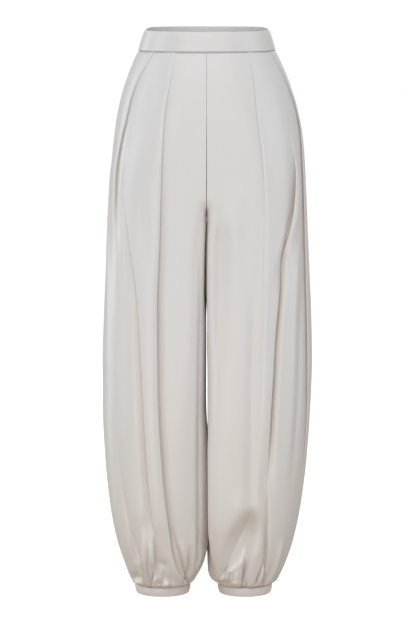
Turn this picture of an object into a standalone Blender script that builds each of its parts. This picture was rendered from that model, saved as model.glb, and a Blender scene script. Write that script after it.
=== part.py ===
"""Satin balloon trousers: pleated front, full legs gathered into narrow ankle cuffs, plain waistband.

The trousers keep the round shape they have when worn. The frame is metres, +Z up. The origin is the
centre of the waist, 12.5 mm above the waist seam. The front faces -Y and the wearer's left is +X.
All sizes below are millimetres.
"""

import bmesh
import bpy
import numpy as np

MM = 0.001

# Driving sizes.
CLOTH = 1.2
BAND_CLOTH = 2.4
SEAM_GAP = 0.3
WAIST_SEAM_Z = -12.5
BAND_TOP_FRONT_Z = 22.8
BAND_TOP_BACK_Z = 26.9
CROTCH_Z = -314.0
CUFF_SEAM_Z = -994.6
BAND_ROUNDNESS = 2.4

# The worn outline, a row for each height. right and left are the outer edges of the two legs and
# right_in and left_in their inner edges, all as distances from the middle. front and back are depths.
# round says how square the corners are on the outer side, where 2 is an ellipse, and right_round and
# left_round how square they are on each leg's inner side.
SECTION_COLUMNS = (
    "z", "right", "right_in", "left", "left_in", "front", "back", "round", "right_round", "left_round",
)
SECTIONS = np.array([
    (-12.5, 122, 0, 124, 0, 93, 94, 2.4, 2.4, 2.4),
    (-31, 131, 0, 133, 0, 97, 99, 2.4, 3.2, 3.2),
    (-53, 140, 0, 143, 0, 101, 106, 2.4, 4.2, 4.2),
    (-96, 154, 0, 158, 0, 106, 118, 2.4, 6.5, 6.5),
    (-140, 163, 0, 168, 0, 109, 126, 2.4, 9, 9),
    (-205, 171, 0, 177, 0, 112, 131, 2.4, 12, 12),
    (-270, 176, 0, 181, 0, 114, 131, 2.4, 12, 12),
    (-314, 179, 0, 183, 0, 115, 129, 2.4, 12, 12),
    (-402, 183, 0.5, 187, 1.5, 117, 126, 2.4, 10, 12),
    (-490, 187, 0.5, 191, 2.2, 118, 124, 2.4, 8, 12),
    (-579, 190, 0.5, 193, 2.8, 118, 122, 2.4, 6, 11),
    (-668, 190, 0.5, 190, 2.2, 116, 119, 2.4, 4.8, 10),
    (-758, 186, 0.5, 184, 1.2, 110, 113, 2.4, 4.2, 9),
    (-848, 177, 0.5, 173, 1, 100, 103, 2.4, 3.8, 7.5),
    (-915, 164, 1.5, 159, 1, 86, 89, 2.35, 3.3, 5),
    (-953, 151, 7, 146, 2.5, 73, 76, 2.25, 2.8, 3.6),
    (-976, 142, 17, 135, 5, 61, 64, 2.15, 2.3, 2.6),
    (-988, 136, 25, 127, 14, 52, 55, 2.1, 2.1, 2.2),
    (-995, 133, 29, 122, 20, 46, 49, 2.1, 2.1, 2.1),
], float)

# Crotch curve: how far above the crotch the two halves have become one flat front. HIP_Z is the height
# at which the outer quarter ovals, which share one middle at the waist, have moved out over the legs.
CROTCH_RISE = 45.0
HIP_Z = -262.0
MIDDLE_Y = 4.0
SMALLEST_HALF = 0.01
OUTLINE_POINTS = 721

# Fold lines, from the middle outwards. x is the line's distance from the middle, outer and inner are how
# far the cloth on each side of the line stands out, and a fold edge is the step between the two.
FOLD_COLUMNS = ("z", "x", "outer", "inner")
FRONT_FOLDS = {
    "right": {
        "inner_pleat": [
            (-16, 55, 1.8, 0), (-62, 63, 2.2, 0), (-132, 74, 3.0, -0.5), (-221, 79, 4.0, -1.0),
            (-346, 83, 5.0, -1.5), (-474, 88, 5.5, -2.0), (-617, 87, 5.5, -2.0), (-761, 80, 5.0, -2.0),
            (-859, 70, 4.0, -1.5), (-916, 59, 2.5, -1.0), (-957, 52, 0.5, 0), (-995, 50, 0, 0),
        ],
        "hip_fold": [
            (-16, 72, 0, 0), (-100, 110, 0, 0), (-180, 143, 0, 0.5), (-275, 147, 0, 2.5),
            (-346, 138, -0.5, 3.0), (-459, 123, -1.0, 3.5), (-584, 116, -1.5, 4.0), (-668, 112, -2.0, 4.0),
            (-761, 107, -2.0, 4.0), (-859, 97, -1.0, 3.5), (-916, 92, -0.5, 2.0), (-995, 90, 0, 0),
        ],
        "outer_pleat": [
            (-16, 93, 1.8, 0), (-64, 121, 2.2, 0), (-99, 134, 2.5, -0.5), (-135, 142, 3.0, -1.0),
            (-171, 151, 3.5, -1.5), (-243, 162, 3.5, -2.5), (-315, 164, 1.5, -2.0), (-380, 160, 0, -0.5),
            (-480, 160, 0, 0), (-760, 158, 0, 0), (-995, 124, 0, 0),
        ],
    },
    "left": {
        "inner_pleat": [
            (-16, 74, 1.8, 0), (-55, 82, 2.2, 0), (-127, 89, 3.0, -0.5), (-209, 99, 3.5, -1.0),
            (-325, 103, 3.5, -1.0), (-420, 101, 2.5, -0.5), (-617, 98, 2.0, 0), (-760, 92, 1.5, 0),
            (-900, 78, 0.5, 0), (-995, 58, 0, 0),
        ],
        "hip_fold": [
            (-16, 96, 0, 0), (-100, 148, 0, 0), (-186, 157, 1.5, -0.5), (-239, 159, 3.5, -2.5),
            (-293, 156, 4.5, -4.0), (-355, 147, 4.0, -4.0), (-420, 131, 1.0, -1.0), (-501, 124, -2.5, 3.0),
            (-599, 119, -3.5, 3.5), (-668, 115, -3.5, 3.5), (-831, 110, -3.0, 3.0), (-916, 108, -1.5, 2.0),
            (-960, 100, 0, 0.5), (-995, 92, 0, 0),
        ],
        "outer_pleat": [
            (-16, 114, 1.8, 0), (-46, 132, 2.2, 0), (-80, 147, 2.5, -0.5), (-114, 159, 3.0, -1.0),
            (-171, 169, 3.5, -1.5), (-306, 174, 3.5, -1.5), (-405, 176, 2.0, -1.0), (-520, 178, 0.5, 0),
            (-600, 176, 0, 0), (-760, 165, 0, 0), (-995, 114, 0, 0),
        ],
    },
}
BACK_FOLDS = {
    "inner_pleat": [
        (-16, 48, 1.8, 0), (-60, 55, 2.2, 0), (-130, 64, 3.0, -0.5), (-270, 72, 3.5, -1.0),
        (-450, 78, 3.0, -1.0), (-650, 78, 1.5, 0), (-800, 74, 0, 0), (-995, 62, 0, 0),
    ],
    "outer_pleat": [
        (-16, 84, 1.8, 0), (-60, 102, 2.2, 0), (-130, 124, 3.0, -0.5), (-230, 136, 3.0, -1.0),
        (-380, 136, 1.5, -0.5), (-520, 130, 0, 0), (-760, 124, 0, 0), (-995, 98, 0, 0),
    ],
}
# How far a fold's cloth takes to come back to the plain outline, on its high and on its low side.
FOLD_REACH_HIGH = 34.0
FOLD_REACH_LOW = 16.0
FOLD_EDGE = 0.8

# Gathers at the cuff. They run together into half as many folds further up.
GATHERS = 28
GATHER_COLUMNS = 4
GATHER_FIRST = ("above", "fine", "wide")
GATHER_DEPTHS = np.array([
    (0, 1.2, 0), (4, 2.6, 0.3), (10, 3.6, 1.0), (20, 3.3, 2.4), (34, 2.2, 4.0), (55, 0.9, 4.4),
    (85, 0.1, 3.2), (120, 0, 1.4), (170, 0, 0.2), (200, 0, 0),
], float)

# Rows of the panel grids: widely spaced over the smooth leg, close at the waist, crotch and cuff.
LONG_ROWS = [
    -22, -38, -62, -95, -135, -180, -225, -264, -282, -295, -303, -308, -311.5, -313.3, -314, -330, -370,
    -430, -500, -570, -640, -710, -775, -830,
]
GATHER_ROWS = [115, 75, 42, 20, 8]
FRONT_STRIPS = (6, 3, 4, 3)
BACK_STRIPS = (5, 5, 5)
EDGE_STRIP = 1.3

SATIN = (0.70, 0.67, 0.63)
ZIP_METAL = (0.62, 0.60, 0.57)

# The waistband's outline at its top edge and at its seam: the reach to the right, left, front and back.
BAND_TOP = (112.0, 114.0, 88.5, 92.0)
BAND_SEAM = (123.0, 125.0, 94.0, 95.2)
BAND_EDGE_SHARE = 0.97
BAND_SHARES = (0, 0.5, BAND_EDGE_SHARE, 1)
BAND_RAMP = 0.5
BAND_FRONT_POINTS = 37
BAND_BACK_POINTS = 19

# Zip slider and pull, at the top of the centre back opening. ZIP_GAP is the slit between the two backs.
ZIP_GAP = 0.6
SLIDER_Z = 17.0
SLIDER_WIDTH = 5.0
SLIDER_HEIGHT = 8.0
SLIDER_PLATE = 1.5
BRIDGE_WIDTH = 1.2
BRIDGE_SPACE = 2.2
BRIDGE_HALF_HEIGHT = 2.1
BRIDGE_SUNK = 0.5
PULL_WIDTH = 5.0
PULL_LENGTH = 22.0
PULL_THICKNESS = 1.2
PULL_SLOT_WIDTH = 2.4
PULL_SLOT_LENGTH = 4.0
PULL_NECK_INSET = 0.3
PULL_SHOULDER = 1.2
PULL_TIP_POINTS = 13

# Cuffs: the reach of each leg's cuff from the middle, its depths, and how far it is drawn in at each drop.
CUFF_REACH = {"right": (29.0, 133.0), "left": (20.0, 122.0)}
CUFF_FRONT = 45.5
CUFF_BACK = 48.5
CUFF_ROUNDNESS = 2.1
CUFF_INSET = 0.8
CUFF_TAPER = ((0, 0), (6, 0.3), (12.7, 1.2), (16.7, 2.6))
CUFF_SIDES = 48


def smooth(table, z, column):
    """A column of a table at the heights z, on a smooth monotone curve through its rows."""
    rows = np.asarray(table, float)
    rows = rows[np.argsort(rows[:, 0])]
    known, value = rows[:, 0], rows[:, column]
    step = np.diff(known)
    slope = np.diff(value) / step
    tangent = np.zeros_like(value)
    tangent[0], tangent[-1] = slope[0], slope[-1]
    same_way = slope[:-1] * slope[1:] > 0
    mean = 2 * slope[:-1] * slope[1:] / np.where(same_way, slope[:-1] + slope[1:], 1)
    tangent[1:-1] = np.where(same_way, mean, 0)
    z = np.clip(z, known[0], known[-1])
    i = np.clip(np.searchsorted(known, z) - 1, 0, len(step) - 1)
    t = (z - known[i]) / step[i]
    a = value[i] * (1 + 2 * t) * (1 - t) ** 2 + tangent[i] * step[i] * t * (1 - t) ** 2
    b = value[i + 1] * t * t * (3 - 2 * t) - tangent[i + 1] * step[i] * t * t * (1 - t)
    return a + b


def bump(t):
    """1 at t = 0, falling smoothly to 0 at t = 1 and beyond."""
    return 0.5 + 0.5 * np.cos(np.pi * np.clip(np.abs(t), 0, 1))


def power(value, exponent):
    return np.sign(value) * np.abs(value) ** exponent


def ease(t):
    """0 below t = 0, 1 above t = 1, and a smooth step between."""
    t = np.clip(t, 0, 1)
    return t * t * (3 - 2 * t)


def base_line(z, side, face):
    """The plain outline of one panel at height z, from its inner edge to the side seam.

    From the middle line of the leg outwards it is a quarter of a rounded oval. The part inside the middle
    line lies flat across the front or back. Over the last few centimetres above the crotch its inner edge
    follows a quarter circle back to the crotch point, and it is a quarter oval too from there on. At the waist
    the middle line is the middle of the body.
    Returns the distances along it, its points and its outward directions, in the plane.
    """
    outer, inner, depth, round_out, round_in = (
        float(smooth(SECTIONS, z, SECTION_COLUMNS.index(name)))
        for name in (side, side + "_in", face, "round", side + "_round")
    )
    facing = 1 if face == "back" else -1
    depth -= facing * MIDDLE_Y
    middle = (outer + inner) / 2 * ease((WAIST_SEAM_Z - z) / (WAIST_SEAM_Z - HIP_Z))
    above = float(np.clip((z - CROTCH_Z) / CROTCH_RISE, 0, 1))
    bend = 1 - (above * (2 - above)) ** (round_in / 2)
    angle = np.linspace(np.pi, 0, OUTLINE_POINTS)
    on_inner = angle > np.pi / 2
    cos, sin = np.abs(np.cos(angle)), np.sin(angle)
    curve = 2 / np.where(on_inner, round_in, round_out)
    half = np.where(on_inner, max(middle - inner, SMALLEST_HALF), outer - middle)
    x = middle + np.where(on_inner, -half, half) * cos**curve
    flat = np.where(on_inner, 1 - bend * cos**2, sin**2)
    y = depth * flat ** (curve / 2)
    out_x = np.where(on_inner, -bend, 1) * cos ** (2 - curve) / half
    out_y = flat ** (1 - curve / 2) / depth
    length = np.hypot(out_x, out_y)
    points = np.column_stack([x, MIDDLE_Y + facing * y])
    outward = np.column_stack([out_x / length, facing * out_y / length])
    along = np.concatenate([[0], np.cumsum(np.hypot(np.diff(x), np.diff(y)))])
    return along, points, outward


def gather_share(step, strips):
    """Uneven spacing of the gathers: the position round the leg, 0 to 1, of each gather step."""
    v = step / strips
    return v + 0.004 * np.sin(6 * np.pi * v) + 0.003 * np.sin(10 * np.pi * v) - 0.002 * np.sin(18 * np.pi * v)


def gather_rise(above, phase):
    """How far the gathers stand out at a height above the cuff seam, for phases round the leg."""
    fine, wide = (smooth(GATHER_DEPTHS, above, GATHER_FIRST.index(k)) for k in ("fine", "wide"))
    uneven = 1 + 0.25 * np.sin(14 * np.pi * phase + 1) + 0.2 * np.sin(22 * np.pi * phase)
    return uneven * (fine * np.cos(2 * np.pi * GATHERS * phase) + wide * np.cos(np.pi * GATHERS * phase))


def line_positions(folds, z, along, points):
    """Where the fold lines cross the panel at height z, as distances along its outline."""
    return [np.interp(smooth(rows, z, 1), points[:, 0], along) for rows in folds.values()]


def fold_rise(folds, lines, z, at):
    """How far the folds stand out at the distances `at` along the outline."""
    rise = np.zeros_like(at)
    for rows, line in zip(folds.values(), lines):
        d = at - line
        for heights, part in ((smooth(rows, z, 2), d >= 0), (smooth(rows, z, 3), d < 0)):
            reach = FOLD_REACH_HIGH if heights > 0 else FOLD_REACH_LOW
            rise += np.where(part, heights * bump(d / reach), 0)
    return rise


def row_points(z, side, face, folds, gathered):
    """One row of a panel: its points in millimetres, and their shares of the way to the side seam."""
    along, points, outward = base_line(z, side, face)
    length = along[-1]
    lines = line_positions(folds, z, along, points)
    if gathered:
        steps = np.arange(GATHERS * GATHER_COLUMNS // 2 + 1)
        phase = steps / (GATHERS * GATHER_COLUMNS)
        at = 2 * gather_share(steps, GATHERS * GATHER_COLUMNS) * length
        at = np.clip(at, EDGE_STRIP, length - EDGE_STRIP)
        if face == "back":
            phase = 1 - phase
        rise = gather_rise(z - CUFF_SEAM_Z, phase)
    else:
        strips = FRONT_STRIPS if face == "front" else BACK_STRIPS
        knots = [EDGE_STRIP]
        for line in lines:
            knots += [line - FOLD_EDGE, line + FOLD_EDGE]
        knots.append(length - EDGE_STRIP)
        at = np.concatenate(
            [np.linspace(knots[2 * i], knots[2 * i + 1], n + 1) for i, n in enumerate(strips)]
        )
        rise = np.zeros_like(at)
    from_seam = (np.minimum(at, length - at) - EDGE_STRIP) / FOLD_REACH_LOW
    rise = rise + fold_rise(folds, lines, z, at) * ease(from_seam)
    at = np.concatenate([[SEAM_GAP / 2], at, [length - SEAM_GAP / 2]])
    rise = np.concatenate([rise[:1], rise, rise[-1:]])
    x = np.interp(at, along, points[:, 0]) + rise * np.interp(at, along, outward[:, 0])
    y = np.interp(at, along, points[:, 1]) + rise * np.interp(at, along, outward[:, 1])
    x = np.maximum(x, SEAM_GAP / 2)
    sign = 1 if side == "left" else -1
    return np.column_stack([sign * x, y, np.full_like(x, z)]), at / length


def join_rows(first, second, first_share, second_share, first_start, second_start):
    """Faces between two rows: four-sided where they match, and triangles where their counts differ."""
    if len(first) == len(second):
        return [
            (first_start + i, second_start + i, second_start + i + 1, first_start + i + 1)
            for i in range(len(first) - 1)
        ]
    faces, i, j = [], 0, 0
    while i < len(first) - 1 or j < len(second) - 1:
        across = j == len(second) - 1 or (i < len(first) - 1 and first_share[i + 1] <= second_share[j + 1])
        if across:
            faces.append((first_start + i, second_start + j, first_start + i + 1))
            i += 1
        else:
            faces.append((first_start + i, second_start + j, second_start + j + 1))
            j += 1
    return faces


def satin(name="satin", colour=SATIN, roughness=0.38, metallic=0.0):
    """One material of a piece, with its colour, roughness and metallic value."""
    material = bpy.data.materials.new(name)
    material.use_nodes = True
    shader = material.node_tree.nodes["Principled BSDF"]
    shader.inputs["Base Color"].default_value = (*colour, 1)
    shader.inputs["Roughness"].default_value = roughness
    shader.inputs["Metallic"].default_value = metallic
    return material


def mesh_object(name, vertices, faces, material, collection):
    """A named mesh object from points in millimetres."""
    mesh = bpy.data.meshes.new(name)
    mesh.from_pydata((np.asarray(vertices) * MM).tolist(), [], faces)
    mesh.materials.append(material)
    mesh.shade_smooth()
    piece = bpy.data.objects.new(name, mesh)
    collection.objects.link(piece)
    return piece


def give_thickness(piece, thickness):
    """Cloth thickness, laid on the inside of the surface."""
    wall = piece.modifiers.new("cloth", "SOLIDIFY")
    wall.thickness = thickness * MM
    wall.offset = -1
    wall.use_quality_normals = True


def leg_panel(side, face, collection):
    """A front or back: half of the body above the crotch and half of a leg below it."""
    folds = FRONT_FOLDS[side] if face == "front" else BACK_FOLDS
    top = WAIST_SEAM_Z - SEAM_GAP
    rows = [row_points(z, side, face, folds, False) for z in [top, *LONG_ROWS]]
    rows += [row_points(CUFF_SEAM_Z + h, side, face, folds, True) for h in [*GATHER_ROWS, 0]]
    starts = np.cumsum([0] + [len(points) for points, _ in rows])
    faces = []
    for i in range(len(rows) - 1):
        (a, share_a), (b, share_b) = rows[i], rows[i + 1]
        faces += join_rows(a, b, share_a, share_b, int(starts[i]), int(starts[i + 1]))
    if (side == "right") != (face == "back"):
        faces = [tuple(reversed(f)) for f in faces]
    name = f"{face}_{side}"
    piece = mesh_object(name, np.vstack([points for points, _ in rows]), faces, satin(name), collection)
    give_thickness(piece, CLOTH)
    return piece


def band_strip(name, angles, levels, thickness, collection):
    """A strip of a waistband or cuff. levels gives each row's outline, as a function of the angles."""
    count = len(angles)
    vertices = np.vstack([level(angles) for level in levels])
    faces = [
        (r * count + i, (r + 1) * count + i, (r + 1) * count + i + 1, r * count + i + 1)
        for r in range(len(levels) - 1)
        for i in range(count - 1)
    ]
    piece = mesh_object(name, vertices, faces, satin(name), collection)
    give_thickness(piece, thickness)
    return piece


def axis_angle(distance, half):
    """The angle from an oval's axis at which its outline is this distance off the axis."""
    return np.arcsin((distance / half) ** (BAND_ROUNDNESS / 2))


def oval(centre_x, half_right, half_left, front, back, angle, roundness=BAND_ROUNDNESS):
    """Points on a rounded oval. The angle runs from +X through the back to -X and the front."""
    across = power(np.cos(angle), 2 / roundness)
    deep = power(np.sin(angle), 2 / roundness)
    x = centre_x + np.where(across > 0, half_left, half_right) * across
    y = MIDDLE_Y + np.where(deep > 0, back - MIDDLE_Y, front + MIDDLE_Y) * deep
    return x, y


def waistband_level(share):
    """The waistband's outline at a share of its height: 0 at the top edge and 1 at the seam."""
    wide = min(share, BAND_EDGE_SHARE)
    half_right, half_left, front, back = (1 - wide) * np.array(BAND_TOP) + wide * np.array(BAND_SEAM)

    def level(angle):
        x, y = oval(0, half_right, half_left, front, back, angle)
        top = BAND_TOP_FRONT_Z + (BAND_TOP_BACK_Z - BAND_TOP_FRONT_Z) * ease(np.sin(angle) / BAND_RAMP)
        return np.column_stack([x, y, top + share * (WAIST_SEAM_Z - top)])

    return level


def waistband(collection):
    """The waistband: one front, and two backs that meet at the zip."""
    levels = [waistband_level(share) for share in BAND_SHARES]
    side = axis_angle(SEAM_GAP / 2, BAND_TOP[2])
    zip_edge = axis_angle(ZIP_GAP / 2, BAND_TOP[0])
    spans = {
        "waistband_front": (-np.pi + side, -side, BAND_FRONT_POINTS),
        "waistband_back_left": (side, np.pi / 2 - zip_edge, BAND_BACK_POINTS),
        "waistband_back_right": (np.pi / 2 + zip_edge, np.pi - side, BAND_BACK_POINTS),
    }
    for name, (start, end, count) in spans.items():
        band_strip(name, np.linspace(start, end, count), levels, BAND_CLOTH, collection)


def cuff(side, collection):
    """A narrow straight cuff, a closed ring a little tighter at its hem."""
    inner, outer = CUFF_REACH[side]
    sign = 1 if side == "left" else -1
    centre, half = sign * (inner + outer) / 2, (outer - inner) / 2 - CUFF_INSET
    angles = np.linspace(0, 2 * np.pi, CUFF_SIDES, endpoint=False)
    vertices = []
    for drop, inwards in CUFF_TAPER:
        reach = (half - inwards, half - inwards, CUFF_FRONT - inwards, CUFF_BACK - inwards)
        x, y = oval(centre, *reach, angles, CUFF_ROUNDNESS)
        vertices.append(np.column_stack([x, y, np.full_like(x, CUFF_SEAM_Z - SEAM_GAP - drop)]))
    faces = []
    for r in range(len(CUFF_TAPER) - 1):
        upper, lower = r * CUFF_SIDES, (r + 1) * CUFF_SIDES
        for i in range(CUFF_SIDES):
            j = (i + 1) % CUFF_SIDES
            faces.append((upper + i, lower + i, lower + j, upper + j))
    name = f"cuff_{side}"
    piece = mesh_object(name, np.vstack(vertices), faces, satin(name), collection)
    give_thickness(piece, BAND_CLOTH)
    return piece


def box(name, low, high, material, collection):
    """A box between two corners, in millimetres."""
    work = bmesh.new()
    bmesh.ops.create_cube(work, size=1)
    low, high = np.array(low) * MM, np.array(high) * MM
    bmesh.ops.scale(work, vec=high - low, verts=work.verts)
    bmesh.ops.translate(work, vec=(high + low) / 2, verts=work.verts)
    mesh = bpy.data.meshes.new(name)
    work.to_mesh(mesh)
    work.free()
    mesh.materials.append(material)
    piece = bpy.data.objects.new(name, mesh)
    collection.objects.link(piece)
    return piece


def combine(piece, other, operation):
    """Joins another solid to the piece, or cuts it out."""
    other.hide_render = True
    other.display_type = "WIRE"
    step = piece.modifiers.new(operation.lower(), "BOOLEAN")
    step.operation = operation
    step.object = other


def zip_pieces(collection, cutters):
    """The slider at the top of the back opening, and the pull that swings on its bridge."""
    metal = satin("zip_metal", ZIP_METAL, 0.3, 1.0)
    band = waistband_level((BAND_TOP_BACK_Z - SLIDER_Z + SLIDER_HEIGHT / 2) / (BAND_TOP_BACK_Z - WAIST_SEAM_Z))
    back_of_plate = band(np.array([np.pi / 2]))[0, 1] + SEAM_GAP
    face = back_of_plate + SLIDER_PLATE
    pivot = face + BRIDGE_SPACE / 2
    half = SLIDER_WIDTH / 2
    low, high = SLIDER_Z - SLIDER_HEIGHT / 2, SLIDER_Z + SLIDER_HEIGHT / 2
    slider = box("zip_slider", (-half, back_of_plate, low), (half, face, high), metal, collection)
    reach = BRIDGE_HALF_HEIGHT + BRIDGE_WIDTH
    arch = box(
        "bridge",
        (-BRIDGE_WIDTH / 2, face - BRIDGE_SUNK, SLIDER_Z - reach),
        (BRIDGE_WIDTH / 2, face + BRIDGE_SPACE + BRIDGE_WIDTH, SLIDER_Z + reach),
        metal,
        cutters,
    )
    hole = box(
        "bridge_space",
        (-BRIDGE_WIDTH, face, SLIDER_Z - BRIDGE_HALF_HEIGHT),
        (BRIDGE_WIDTH, face + BRIDGE_SPACE, SLIDER_Z + BRIDGE_HALF_HEIGHT),
        metal,
        cutters,
    )
    combine(slider, arch, "UNION")
    combine(slider, hole, "DIFFERENCE")
    pull = pull_tab(pivot, metal, collection)
    return slider, pull


def pull_tab(pivot, metal, collection):
    """A flat teardrop that hangs from the bridge by the bar above its slot.

    Its origin is on the bar's axis, which is the joint's axis.
    """
    outline = bpy.data.curves.new("zip_pull", "CURVE")
    outline.dimensions = "2D"
    outline.fill_mode = "BOTH"
    outline.extrude = PULL_THICKNESS / 2 * MM
    bar = PULL_THICKNESS / 2
    neck, tip = PULL_WIDTH / 2 - PULL_NECK_INSET, PULL_WIDTH / 2
    shoulder = -PULL_SLOT_LENGTH - PULL_SHOULDER
    end = PULL_LENGTH - bar - tip
    shape = [(-neck, bar), (-neck, shoulder)]
    shape += [(-tip * np.cos(t), -end - tip * np.sin(t)) for t in np.linspace(0, np.pi, PULL_TIP_POINTS)]
    shape += [(neck, shoulder), (neck, bar)]
    half_slot = PULL_SLOT_WIDTH / 2
    slot = [
        (-half_slot, -bar),
        (half_slot, -bar),
        (half_slot, -bar - PULL_SLOT_LENGTH),
        (-half_slot, -bar - PULL_SLOT_LENGTH),
    ]
    for loop in (shape, slot):
        spline = outline.splines.new("POLY")
        spline.points.add(len(loop) - 1)
        for point, (x, z) in zip(spline.points, loop):
            point.co = (x * MM, z * MM, 0, 1)
        spline.use_cyclic_u = True
    outline.materials.append(metal)
    pull = bpy.data.objects.new("zip_pull", outline)
    pull.location = (0, pivot * MM, SLIDER_Z * MM)
    pull.rotation_euler = (np.pi / 2, 0, 0)
    collection.objects.link(pull)
    return pull


def main():
    for old in list(bpy.data.objects):
        bpy.data.objects.remove(old)
    collection = bpy.data.collections.new("balloon_trousers")
    cutters = bpy.data.collections.new("cutters")
    for group in (collection, cutters):
        bpy.context.scene.collection.children.link(group)
    for side in ("right", "left"):
        for face in ("front", "back"):
            leg_panel(side, face, collection)
        cuff(side, collection)
    waistband(collection)
    zip_pieces(collection, cutters)


main()
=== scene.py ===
# %% [markdown]
# # Satin balloon trousers
# This lesson dresses a plain model of a pair of balloon trousers in its real cloth. The trousers keep the
# round shape they have when worn. The model gives the frame: metres, +Z up, the front faces -Y, the wearer's
# left is +X and the origin is the centre of the waist. We load it first and keep its box, because the cloth
# has to stay in it.

import bpy
import mathutils
import numpy as np
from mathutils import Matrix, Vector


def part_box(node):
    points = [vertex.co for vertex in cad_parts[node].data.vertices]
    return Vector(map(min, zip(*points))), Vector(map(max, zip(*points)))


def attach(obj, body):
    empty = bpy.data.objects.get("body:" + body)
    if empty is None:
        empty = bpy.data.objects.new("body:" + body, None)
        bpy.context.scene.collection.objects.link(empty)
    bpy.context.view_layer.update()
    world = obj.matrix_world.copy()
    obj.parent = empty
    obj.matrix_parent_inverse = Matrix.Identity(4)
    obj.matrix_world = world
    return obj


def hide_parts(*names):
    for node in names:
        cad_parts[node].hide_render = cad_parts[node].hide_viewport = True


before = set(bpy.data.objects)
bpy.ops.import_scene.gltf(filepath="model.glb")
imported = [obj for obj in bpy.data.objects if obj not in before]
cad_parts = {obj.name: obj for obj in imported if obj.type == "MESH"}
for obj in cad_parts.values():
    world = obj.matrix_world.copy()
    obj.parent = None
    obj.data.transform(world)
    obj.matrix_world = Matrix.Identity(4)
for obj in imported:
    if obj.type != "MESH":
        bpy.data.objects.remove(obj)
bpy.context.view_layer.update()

MM = 0.001

# %% [markdown]
# ## Curves through short tables
# A garment is drawn from a few sizes at a few heights. A monotone cubic joins them: it is smooth, and it
# never swings past the sizes that were measured, as an ordinary spline does. Here each table has a row for
# each height, in millimetres, and its first column is the height.

# %% smooth tables
# How far an average reaches each way, in millimetres, and how many places it takes in.
AVERAGE_REACH, AVERAGE_STEPS = 16.0, 9


def smooth_column(table, column, z):
    """One column of a table at the heights z.

    Each span is a cubic that starts and ends with the harmonic mean of the slopes beside it.
    """
    rows = np.asarray(table, float)
    rows = rows[np.argsort(rows[:, 0])]
    known, value = rows[:, 0], rows[:, column]
    step = np.diff(known)
    slope = np.diff(value) / step
    same_way = slope[:-1] * slope[1:] > 0
    mean = 2 * slope[:-1] * slope[1:] / np.where(same_way, slope[:-1] + slope[1:], 1)
    tangent = np.concatenate([slope[:1], np.where(same_way, mean, 0), slope[-1:]])
    z = np.clip(z, known[0], known[-1])
    i = np.clip(np.searchsorted(known, z) - 1, 0, len(step) - 1)
    t = (z - known[i]) / step[i]
    from_left = value[i] * (1 + 2 * t) * (1 - t) ** 2 + tangent[i] * step[i] * t * (1 - t) ** 2
    from_right = value[i + 1] * t * t * (3 - 2 * t) - tangent[i + 1] * step[i] * t * t * (1 - t)
    return from_left + from_right


def rounded_column(table, column, z):
    """The same curve, averaged over up to 16 mm each way. That takes the last small kinks out of its bends.

    The average narrows to nothing at the table's two ends, so their sizes hold.
    """
    heights = [row[0] for row in table]
    reach = np.clip(np.minimum(max(heights) - z, z - min(heights)), 0, AVERAGE_REACH)
    offsets = np.linspace(-1, 1, AVERAGE_STEPS)
    weights = 1 + np.cos(np.pi * offsets)
    total = sum(w * smooth_column(table, column, z + offset * reach) for w, offset in zip(weights, offsets))
    return total / weights.sum()


def smooth_step(t):
    """0 below t = 0, 1 above t = 1, and 3t squared less 2t cubed between."""
    t = np.clip(t, 0, 1)
    return t * t * (3 - 2 * t)


def bell(distance, spread):
    """A bell curve: e to the power of -(distance / spread) squared."""
    return np.exp(-((distance / spread) ** 2))


def read_rows(where, known, values):
    """Each row's values at new places along it, joined by straight lines."""
    return np.array([np.interp(w, k, v) for w, k, v in zip(where, known, values)])


sample = smooth_column([(0, 0), (10, 4), (20, 5)], 1, np.array([5.0, 15.0]))
print("a smooth curve through 0, 4 and 5 passes", sample.round(2), "half-way between")

# %% [markdown]
# ## The worn outline
# Seen from above, the waist is a rounded oval, and so is each leg. The real trousers have a J-shaped crotch
# seam, where the one oval becomes two. Each half is worked out in two parts that meet on a line down the
# middle of the leg. The outer part is a quarter of an oval from the waist to the ankle. The inner part lies
# flat across the front, and over the last few centimetres above the crotch it bends back until it meets the
# other half's inner side.

# %% sizes of the outline
WAIST_SEAM_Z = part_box("front_left")[1][2] / MM
CUFF_SEAM_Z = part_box("front_left")[0][2] / MM
CROTCH_Z = -314.0
# How far above the crotch the two halves have become one flat front.
CROTCH_RISE = 45.0
# At this height the outer parts, which share one middle at the waist, have moved out over the legs.
HIP_Z = -262.0
MIDDLE_Y = 4.0
SMALLEST_HALF = 0.01
OUTLINE_POINTS = 721

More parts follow.
